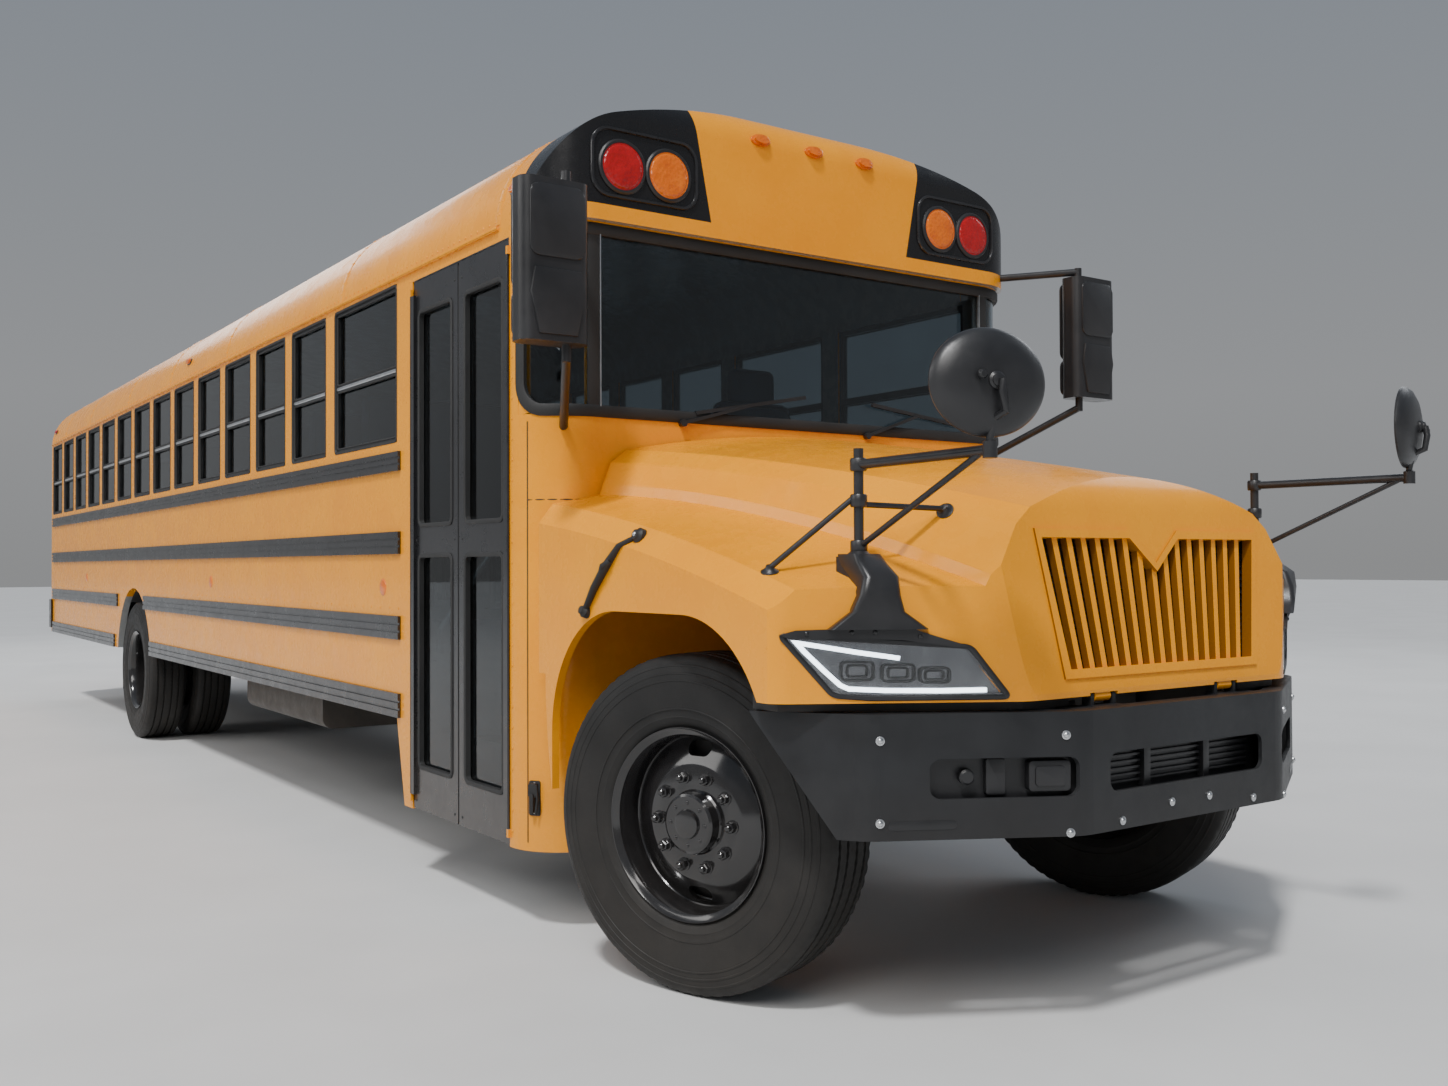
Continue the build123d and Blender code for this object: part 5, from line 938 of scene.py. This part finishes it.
ROW_1 = AXLE_F + 2.25
ROW_PITCH = (REAR_END - 0.7 - ROW_1) / 11
INNER, AISLE = HALF - 0.05, 0.19
pads, piping, frames = bmesh.new(), bmesh.new(), bmesh.new()
for i in range(12):
    y = ROW_1 + i * ROW_PITCH
    for s in (-1, 1):
        x0, x1 = sorted((s * AISLE, s * (INNER - 0.004)))
        cushion(pads, (x0, y, FLOOR + 0.335), (x1, y + 0.4, FLOOR + 0.44), 0.035, 0.022, 2, 1)
        x2, x3 = sorted((s * AISLE, s * (INNER - 0.03)))
        cushion(pads, (x2, y + 0.385, FLOOR + 0.345), (x3, y + 0.47, FLOOR + 1.05), 0.036, 0.016, 1, -1)
        line = rounded(x3 - x2 - 0.036, 0.67, 0.05, 5, (x2 + x3) / 2, FLOOR + 0.7)
        for dy in (0.388, 0.467):
            sweep(piping, [(px, y + dy, pz) for px, pz in line], 0.0045, 6, closed=True)
        line = rounded(x1 - x0 - 0.036, 0.36, 0.05, 5, (x0 + x1) / 2, y + 0.2)
        sweep(piping, [(px, py, FLOOR + 0.437) for px, py in line], 0.0045, 6, closed=True)
        leg = s * 0.27
        bent = [(0.06, 0.005), (0.06, 0.31), (0.1, 0.335), (0.36, 0.335), (0.4, 0.31), (0.4, 0.005)]
        sweep(frames, [(leg, y + dy, FLOOR + dz) for dy, dz in bent], 0.014, 10)
        for fy in (y + 0.06, y + 0.4):
            bar(frames, (leg - 0.035, fy - 0.03, FLOOR), (leg + 0.035, fy + 0.03, FLOOR + 0.006), 0.002)
        bar(frames, (leg, y + 0.17, FLOOR + 0.3), (s * INNER, y + 0.2, FLOOR + 0.335), 0.003)
pads = finish_piece("bench_cushions", pads, vinyl, "coach", 50, ["seats"])
finish_piece("bench_piping", piping, rubber, "coach", 60)
finish_piece("bench_frames", frames, chassis)

DRIVER_X, DRIVER_Y = INNER - 0.529, AXLE_F + 1.48
bm = bmesh.new()
for half, y0, y1, z0, z1, r, crown, axis, way in (
    (0.24, -0.02, 0.44, 0.3, 0.43, 0.05, 0.02, 2, 1),
    (0.23, 0.42, 0.54, 0.33, 1.06, 0.055, 0.02, 1, -1),
    (0.135, 0.44, 0.53, 1.04, 1.23, 0.042, 0.01, 1, -1),
):
    cushion(bm, (DRIVER_X - half, DRIVER_Y + y0, FLOOR + z0), (DRIVER_X + half, DRIVER_Y + y1, FLOOR + z1), r,
            crown, axis, way)
seat = finish_piece("driver_cushions", bm, vinyl, "coach", 50, ["driver_seat"])
bm = bmesh.new()
bar(bm, (DRIVER_X - 0.2, DRIVER_Y, FLOOR), (DRIVER_X + 0.2, DRIVER_Y + 0.42, FLOOR + 0.05), 0.01)
knob(bm, (DRIVER_X, DRIVER_Y + 0.21, FLOOR), UP, 32, (0.04, 0.1), (0.1, 0.075), (0.16, 0.095), (0.2, 0.075),
     (0.26, 0.1), (0.31, 0.13))
line = rounded(0.42, 0.66, 0.07, 6, DRIVER_X, FLOOR + 0.7)
sweep(bm, [(px, DRIVER_Y + 0.424, pz) for px, pz in line], 0.005, 6, closed=True)
finish_piece("driver_seat_base", bm, dash)

# Side windows: seals round the sashes and bright bars where the panes meet
seals, bars = bmesh.new(), bmesh.new()
PANE_SPLIT = 2.18
for s in (-1, 1):
    def beside(y, z, h, s=s):
        """Point on the wall of side s."""
        return Vector((s * (HALF - 0.008 + h), y, z))

    for y, w in WINDOWS + ([DRIVER] if s > 0 else []):
        low = 1.7 if (y, w) == DRIVER else SILL
        line = rounded(w - 0.01, HEAD - low - 0.01, 0.022, 4, y + w / 2, (HEAD + low) / 2)
        band(seals, line, strip(0.016, 0.0105, -0.001), beside)
        line = [(y + 0.02, PANE_SPLIT), (y + w - 0.02, PANE_SPLIT)]
        band(bars, line, strip(0.015, 0.004, -0.001), beside, closed=False)
        for foot, head in ((low + 0.025, PANE_SPLIT - 0.018), (PANE_SPLIT + 0.018, HEAD - 0.025)):
            line = rounded(w - 0.05, head - foot, 0.01, 3, y + w / 2, (head + foot) / 2)
            band(seals, line, strip(0.008, 0.0035, -0.004), beside)
finish_piece("window_seals", seals, rubber)
finish_piece("window_sash_bars", bars, silver)

# Entrance leaves: pane seals and the rubber where they meet
LEAF, DOOR_FACE = 0.454, -1.215
for which, start, edge, way in (
    ("front", DOOR_FRONT + 0.005, DOOR_FRONT + 0.459, 1), ("rear", DOOR_REAR - 0.459, DOOR_REAR - 0.459, -1),
):
    bm = bmesh.new()
    for low, high in ((0.48, 1.37), (1.49, 2.395)):
        line = rounded(LEAF - 0.114, high - low - 0.006, 0.028, 5, start + LEAF / 2, (low + high) / 2)
        band(bm, line, strip(0.018, 0.005, -0.018), lambda y, z, h: Vector((DOOR_FACE - h, y, z)))
    bar(bm, (DOOR_FACE + 0.002, edge, 0.315), (-1.18, edge + way * 0.0055, 2.515), 0.002)
    for z in (0.34, 1.43, 2.46):
        for y in (start + 0.03, start + LEAF - 0.03):
            dome(bm, (DOOR_FACE, y, z), -ACROSS, 0.006, 0.003, 10, 2)
    finish_piece("door_" + which + "_seals", bm, rubber, "door_" + which)

# Roof edge: gutter, rivets and lapped straps over the top
ROOF_C, ROOF_H, ROOF_R = HALF - 0.42, ROOF - GUTTER, 0.42
CROWN = (ROOF_C ** 2 + ROOF_H ** 2 - ROOF_R ** 2) / (2 * (ROOF_H - ROOF_R))
BEND = pi / 2 - atan2(ROOF_C, CROWN - ROOF_H)
SHOULDER_X = ROOF_C + ROOF_R * cos(BEND)
HALF_SPAN = CROWN * asin(SHOULDER_X / CROWN)


def on_roof(u, y, h):
    """Point on the roof's outline, u along it from the middle."""
    side_of, far = copysign(1, u), abs(u)
    if far <= HALF_SPAN:
        a, r = far / CROWN, CROWN + h
        return Vector((side_of * r * sin(a), y, GUTTER + ROOF_H - CROWN + r * cos(a)))
    a, r = BEND - (far - HALF_SPAN) / ROOF_R, ROOF_R + h
    return Vector((side_of * (ROOF_C + r * cos(a)), y, GUTTER + r * sin(a)))


ROOF_END = HALF_SPAN + ROOF_R * BEND
COVER_FRONT, GUTTER_OUT = AXLE_F + 1.01, 1.231


def roof_rivet(bm, u, y, h, radius, height):
    """A rivet on the roof's outline, its foot at height h."""
    spot = on_roof(u, y, h)
    dome(bm, spot, on_roof(u, y, 1) - spot, radius, height, 8, 2)


bm = bmesh.new()
for s in (-1, 1):
    for x, foot, head in ((1.214, -0.001, 0.006), (1.226, 0, 0.014)):
        bar(bm, (s * x, COVER_FRONT, GUTTER + foot), (s * GUTTER_OUT, REAR_END, GUTTER + head), 0.002)
    for y in stepped(COVER_FRONT + 0.03, REAR_END - 0.02, 0.055):
        roof_rivet(bm, s * (ROOF_END - 0.034), y, 0, 0.0055, 0.0032)
STRAPS = (COVER_FRONT + 0.01, -2.45, -0.35, 1.15, 2.6, 4.3, 5.6, REAR_END - 0.02)
for y0 in STRAPS:
    line = [((ROOF_END - 0.02) * (k / 30 - 1), y0) for k in range(61)]
    band(bm, line, strip(0.04, 0.0022, -0.003), on_roof, closed=False)
    for k in range(-26, 27):
        for dy in (-0.011, 0.011):
            roof_rivet(bm, k * (ROOF_END - 0.06) / 26, y0 + dy, 0.0015, 0.005, 0.0028)
finish_piece("roof_seams", bm, yellow)

# Markers at the roof's corners and middle: amber ahead, red behind
amber_bm, red_bm, foot_bm = bmesh.new(), bmesh.new(), bmesh.new()
for s in (-1, 1):
    for y, bm in ((AXLE_F + 0.9, amber_bm), (0.65, amber_bm), (REAR_END - 0.12, red_bm)):
        u = s * (ROOF_END - 0.135)
        spot = on_roof(u, y, 0)
        out = (on_roof(u, y, 1) - spot).normalized()
        rise = out.cross(BEHIND)
        prism(foot_bm, rounded(0.092, 0.044, 0.02, 6), spot - out * 0.004, BEHIND, rise, 0.01, 0.003)
        prism(bm, rounded(0.074, 0.032, 0.015, 6), spot + out * 0.002, BEHIND, rise, 0.018, 0.006)
finish_piece("marker_lamps_amber", amber_bm, amber_lens, "coach", 30)
finish_piece("marker_lamps_red", red_bm, red_lens, "coach", 30)
finish_piece("marker_lamp_feet", foot_bm, housing, "coach", 30)

# Front bumper: bolts, pockets behind the slots and the shut lower slots
BUMPER_FACE = AXLE_F - 1.08
FACE_OUT = Vector((0.48, -0.877, 0)).normalized()
bm, pocket_bm = bmesh.new(), bmesh.new()
for s in (-1, 1):
    slant = on_side(s, FACE_OUT)
    for x, y, z, out in (
        (0.968, 0.273, 0.849, slant), (0.97, 0.273, 0.628, slant), (0.515, 0.024, 0.856, slant),
        (0.505, 0.02, 0.59, slant), (0.089, 0, 0.633, AHEAD), (0.311, 0, 0.604, AHEAD),
    ):
        spot = Vector((s * x, BUMPER_FACE + y, z)) + out * 0.002
        knob(bm, spot, out, 24, (-0.008, 0.0125), (0.001, 0.0125), (0.002, 0.01))
        dome(bm, spot, out, 0.009, 0.007, 14, 4)
    # Pocket behind the side slot: back plate, a lamp's box, a bracket and the two ends
    along = Vector((s * 0.877, 0.48, 0))
    back = Vector((s * 0.664, BUMPER_FACE + 0.106, 0.743)) - slant * 0.055
    for outline, depth, edge in (
        (rounded(0.46, 0.16, 0.02, 3), 0.006, 0),
        (rounded(0.12, 0.085, 0.012, 4, -0.13), 0.04, 0.006),
        (rounded(0.085, 0.055, 0.01, 4, -0.13), 0.046, 0.004),
        (rounded(0.055, 0.1, 0.008, 4, 0.02), 0.03, 0.004),
        ([(-0.226, -0.08), (-0.22, -0.08), (-0.22, 0.08), (-0.226, 0.08)], 0.044, 0),
        ([(0.22, -0.08), (0.226, -0.08), (0.226, 0.08), (0.22, 0.08)], 0.044, 0),
    ):
        prism(pocket_bm, outline, back, along, UP * s, depth, edge)
    knob(pocket_bm, back + along * 0.1, slant, 24, (0.0, 0.022), (0.03, 0.022), (0.034, 0.016))
    low_slot = Vector((s * 0.867, BUMPER_FACE + 0.2175, 0.62)) - slant * 0.0015
    prism(pocket_bm, rounded(0.19, 0.024, 0.0115, 6), low_slot, along, UP * s, 0.003, 0.001)
    # Lip between the bumper's top and the frame, under the hood's foot
    bar(pocket_bm, (s * 0.35, BUMPER_FACE + 0.13, 0.84), (s * 0.62, BUMPER_FACE + 0.138, 0.932), 0.002)
bar(pocket_bm, (-0.475, BUMPER_FACE + 0.065, 0.65), (0.475, BUMPER_FACE + 0.075, 0.83), 0.003)
for k in range(6):
    z = 0.695 + 0.0185 * k
    bar(pocket_bm, (-0.36, BUMPER_FACE + 0.054, z), (0.36, BUMPER_FACE + 0.066, z + 0.008), 0.002)
for x in (-0.16, 0.12):
    bar(pocket_bm, (x, BUMPER_FACE + 0.04, 0.68), (x + 0.03, BUMPER_FACE + 0.066, 0.806), 0.004)
finish_piece("bumper_bolts", bm, silver, "coach", 30)
finish_piece("bumper_pockets", pocket_bm, housing, "coach", 30)

# Flap inside the hood's foot, above the bumper
bm = bmesh.new()
for s in (-1, 1):
    line = [(s * 0.4, AXLE_F - 0.965), (s * 0.588, AXLE_F - 0.965), (s * 1.162, AXLE_F - 0.612),
            (s * 1.162, AXLE_F - 0.5)]
    band(bm, line, wall(0.003, 0.923, 0.975), lambda u, v, h: Vector((u, v, h)), closed=False)
finish_piece("hood_foot_flaps", bm, rubber, "hood", 30)

# Dark mesh behind the grille
bm = bmesh.new()
LEAN = 50.0 / 446.0
grille_out = Vector((0, -1, LEAN)).normalized()
grille_up = Vector((0, LEAN, 1)).normalized()
WIDE, LOW, HIGH, NOTCH = 0.452, 0.322, 0.421, 0.115
outline = [(-WIDE, 0.004), (WIDE, 0.004), (WIDE + 0.07, HIGH), (NOTCH, HIGH), (0, LOW), (-NOTCH, HIGH),
           (-WIDE - 0.07, HIGH)]
start = Vector((0, AXLE_F - 1.0, 1.0)) - grille_out * 0.04
prism(bm, outline, start, ACROSS, grille_up, 0.003)
for k in range(1, 20):
    level = 0.42 * k / 20
    reach = 0.45 + 0.07 * level / 0.42
    inner = NOTCH * (level - LOW) / (HIGH - LOW) if level > LOW else 0
    a = start + grille_up * level + grille_out * 0.005
    for x0, x1 in ((-reach, -inner), (inner, reach)):
        sweep(bm, [a + ACROSS * x0, a + ACROSS * x1], 0.003, 6)
finish_piece("grille_mesh", bm, housing, "hood", 30)

# Hood latches, and the hold-open latch at the foot of the door post
bm, pin_bm = bmesh.new(), bmesh.new()
for s in (-1, 1):
    top, low = Vector((s * 1.178, AXLE_F + 0.085, 1.416)), Vector((s * 1.214, AXLE_F + 0.372, 1.172))
    mid = (top + low) / 2 + Vector((s * 0.018, 0, 0.028))
    strap = [top, (top + mid) / 2 + Vector((s * 0.012, 0, 0.016)), mid,
             (mid + low) / 2 + Vector((s * 0.004, 0, 0.004)), low]
    sweep(bm, strap, [0.012, 0.013, 0.017, 0.014, 0.011], 14, flat=0.7)
    for spot, r in ((top, 0.026), (low, 0.022)):
        knob = [(-0.014, 0), (-0.014, r), (0.004, r), (0.01, r * 0.7), (0.018, r * 0.6), (0.02, 0)]
        lathe(bm, knob, spot, (s, 0, 0.35), 24)
    grip = ((0.004, -0.03, 0.016), (0.016, 0, 0), (0.004, 0.03, -0.02))
    sweep(bm, [mid + on_side(s, spot) for spot in grip], 0.0085)
    dome(pin_bm, top + Vector((s * 0.018, 0, 0.006)), (s, 0, 0.35), 0.008, 0.005, 12)
finish_piece("hood_latches", bm, rubber, "hood")
finish_piece("latch_pins", pin_bm, silver, "hood")

bm, pin_bm = bmesh.new(), bmesh.new()
latch_out = Vector((-0.82, -0.57, 0)).normalized()
across = Vector((0.57, -0.82, 0)).normalized()
latch = Vector((-1.184, AXLE_F + 0.794, 0.491)) - latch_out * 0.004
for outline, depth, edge in (
    (rounded(0.046, 0.125, 0.008, 4), 0.008, 0.002),
    (rounded(0.03, 0.05, 0.006, 4, 0, 0.03), 0.026, 0.004),
    (rounded(0.016, 0.07, 0.006, 4, 0, -0.016), 0.034, 0.004),
):
    prism(bm, outline, latch, across, UP, depth, edge)
hook = ((0.018, 0.05), (0.024, 0), (0.016, -0.055))
sweep(bm, [latch + latch_out * 0.03 + across * aside + UP * dz for aside, dz in hook], 0.005, 8)
for dz in (-0.05, 0.052):
    dome(pin_bm, latch + latch_out * 0.008 + UP * dz, latch_out, 0.006, 0.004, 10, 2)
finish_piece("door_post_latch", bm, rubber)
finish_piece("door_post_latch_pins", pin_bm, silver)

# Rear-view mirrors: glass in two parts, ridged backs
bm, back_bm = bmesh.new(), bmesh.new()
for s in (-1, 1):
    x, y = s * (HALF + 0.116), AXLE_F + 0.38
    for low, high, bulge in ((2.235, 2.555, 0.0), (2.075, 2.215, 0.01)):
        spot = Vector((x, y + 0.054, (low + high) / 2))
        prism(bm, rounded(0.205, high - low, 0.025, 5), spot, -ACROSS, UP, 0.004 + bulge, 0.002 + bulge * 0.8)
        band(back_bm, rounded(0.215, high - low + 0.01, 0.028, 5), strip(0.01, 0.009, -0.002),
             lambda u, v, h, c=spot: Vector((c.x - u, c.y + h, c.z + v)))
    shape = [(-0.07, -0.245), (0.07, -0.245), (0.1, -0.11), (0.086, -0.03), (-0.086, -0.03),
             (-0.1, -0.11)]
    prism(back_bm, shape, Vector((x, y - 0.048, 2.315)), ACROSS, UP, 0.016, 0.009)
    ridge = rounded(0.2, 0.235, 0.03, 5, 0, 0.125)
    prism(back_bm, ridge, Vector((x, y - 0.05, 2.315)), ACROSS, UP, 0.01, 0.006)
finish_piece("rear_view_glass", bm, mirror)
finish_piece("rear_view_ridges", back_bm, housing, "coach", 45)

# Stop arm: pale border and flashers
bm, flash = bmesh.new(), bmesh.new()
sign = Vector((HALF + 0.048, AXLE_F + 1.525, 1.605))
reach = 0.209 / cos(pi / 8)
octagon = oval(reach, reach, 8, 22.5)
for x, out in ((sign.x, 1), (sign.x - 0.01, -1)):
    band(bm, octagon, strip(0.016, 0.0012, -0.0004),
         lambda u, v, h, x=x, out=out: Vector((x + out * h, sign.y + u, sign.z + v)))
for dz in (-0.135, 0.135):
    dome(flash, sign + UP * dz, ACROSS, 0.036, 0.013, 36, 6)
    ring = [(0, 0.036), (0, 0.043), (0.004, 0.043), (0.005, 0.036), (0, 0.036)]
    lathe(bm, ring, sign + UP * dz, ACROSS, 36)
finish_piece("stop_sign_border", bm, sign_white, "stop_arm")
finish_piece("stop_sign_flashers", flash, red_lens, "stop_arm")

# Rear: black panels behind the warning lamps, pane and door seals, and reflectors along the sides
bm, seal_bm, amber_bm = bmesh.new(), bmesh.new(), bmesh.new()


def on_tail(x, z, h):
    """Point on the rear wall."""
    return Vector((x, TAIL + h, z))


for s in (-1, 1):
    panel = rounded(0.47, 0.245, 0.06, 6, s * 0.8, 2.72)
    plate(bm, panel, on_tail, -0.001, 0.0025)
    band(bm, panel, strip(0.012, 0.007, 0.0), on_tail)
    band(seal_bm, rounded(0.525, 0.562, 0.05, 6, s * 0.82, 2.1415), strip(0.026, 0.007, -0.02), on_tail)
for low, high in ((1.62, 2.38), (1.18, 1.48)):
    line = rounded(0.666, high - low + 0.006, 0.04, 6, 0, (low + high) / 2)
    band(seal_bm, line, strip(0.026, 0.009, -0.02), lambda x, z, h: Vector((x, TAIL - 0.002 + h, z)))
finish_piece("rear_pane_seals", seal_bm, rubber)
finish_piece("rear_lamp_panels", bm, black)
bm = bmesh.new()
band(bm, rounded(0.955, 1.49, 0.02, 4, 0, 1.7425), strip(0.012, 0.006, -0.004), on_tail)
finish_piece("rear_door_seal", bm, rubber)
for s in (-1, 1):
    for y in (AXLE_F + 2.2, 0.0, 4.4):
        dome(amber_bm, (s * HALF, y, 1.23), ACROSS * s, 0.038, 0.007, 32, 4)
finish_piece("side_reflectors", amber_bm, amber_lens)

# Body seams: the cowl's upright and level joints, and rivets up the door posts and along the walls
bm, rivet_bm = bmesh.new(), bmesh.new()
SEAM = strip(0.005, 0.0012, -0.001)
for s in (-1, 1):
    upright = [(s * 1.25, z) for z in (SILL - 0.02, 1.4, 0.75 if s > 0 else 0.33)]
    level = [(s * u, 1.56) for u in (1.25, 1.2, 1.15, 1.1, 1.05, 1.0, 0.95)]
    for line in (upright, level):
        band(bm, line, SEAM, on_skin, closed=False)
finish_piece("cowl_seams", bm, rubber)
for z in stepped(0.36, GUTTER - 0.03, 0.075):
    for y in (DOOR_FRONT - 0.022, DOOR_REAR + 0.028):
        if y < DOOR_FRONT or z > 0.7:
            dome(rivet_bm, (-HALF, y, z), -ACROSS, 0.0055, 0.003, 8, 2)
for s in (-1, 1):
    for y in stepped(DOOR_REAR + 0.16, REAR_END - 0.03, 0.11):
        for z in (1.85, 1.14):
            dome(rivet_bm, (s * HALF, y, z), ACROSS * s, 0.005, 0.0028, 8, 2)
finish_piece("side_rivets", rivet_bm, yellow)

# Grab rails inside the entrance
bm = bmesh.new()
for y in (DOOR_FRONT + 0.02, DOOR_REAR - 0.02):
    rail = ((-1.1, 0.95), (-1.1, 1.05), (-0.6, 1.75), (-0.5, 1.8), (-0.47, 1.75), (-0.47, FLOOR))
    sweep(bm, [(x, y, z) for x, z in rail], 0.014, 12)
finish_piece("grab_rails", bm, silver, "coach", 50)

# Floor and light
plane = bpy.data.meshes.new("ground")
plane.from_pydata([(-90, -90, 0), (90, -90, 0), (90, 90, 0), (-90, 90, 0)], [], [(0, 1, 2, 3)])
plane.materials.append(surface("pale_floor", (0.6, 0.6, 0.595), (0.66, 0.66, 0.655), rough=(0.75, 0.9),
                               scale=0.8, grain=0.15, grain_scale=120.0))
ground = placed("ground", plane)

world = bpy.data.worlds.new("studio")
bpy.context.scene.world = world
world.use_nodes = True
sky = world.node_tree
tone = ramp(sky, axes_of(sky, "Generated")["Z"],
            [(0.0, (0.72, 0.73, 0.74)), (0.12, (0.8, 0.82, 0.85)), (0.6, (0.5, 0.6, 0.74))])
sky.links.new(tone, sky.nodes["Background"].inputs["Color"])
sky.nodes["Background"].inputs["Strength"].default_value = 0.38


def area(name, place, target, size, power, colour=(1, 1, 1)):
    """A wide lamp aimed at a target."""
    data = bpy.data.lights.new(name, "AREA")
    data.shape = "RECTANGLE"
    data.size, data.size_y = size
    data.energy = power
    data.color = colour
    lamp = placed(name, data)
    lamp.location = place
    lamp.rotation_euler = (Vector(target) - Vector(place)).to_track_quat("-Z", "Y").to_euler()


area("key", (-9, -13, 11), (0, -4, 1), (8, 6), 900, (1.0, 0.97, 0.93))
area("long_side", (-14, 2, 9), (0, 1, 1.5), (14, 5), 750, (1.0, 0.98, 0.95))
area("far_side", (13, -2, 10), (0, 0, 1.5), (12, 5), 420, (0.93, 0.96, 1.0))
area("behind", (2, 15, 9), (0, 4, 1.5), (8, 5), 340)
sun_data = bpy.data.lights.new("sun", "SUN")
sun_data.energy = 2.6
sun_data.angle = radians(6)
sun = placed("sun", sun_data)
sun.rotation_euler = Vector((0.42, 0.3, -0.86)).to_track_quat("-Z", "Y").to_euler()
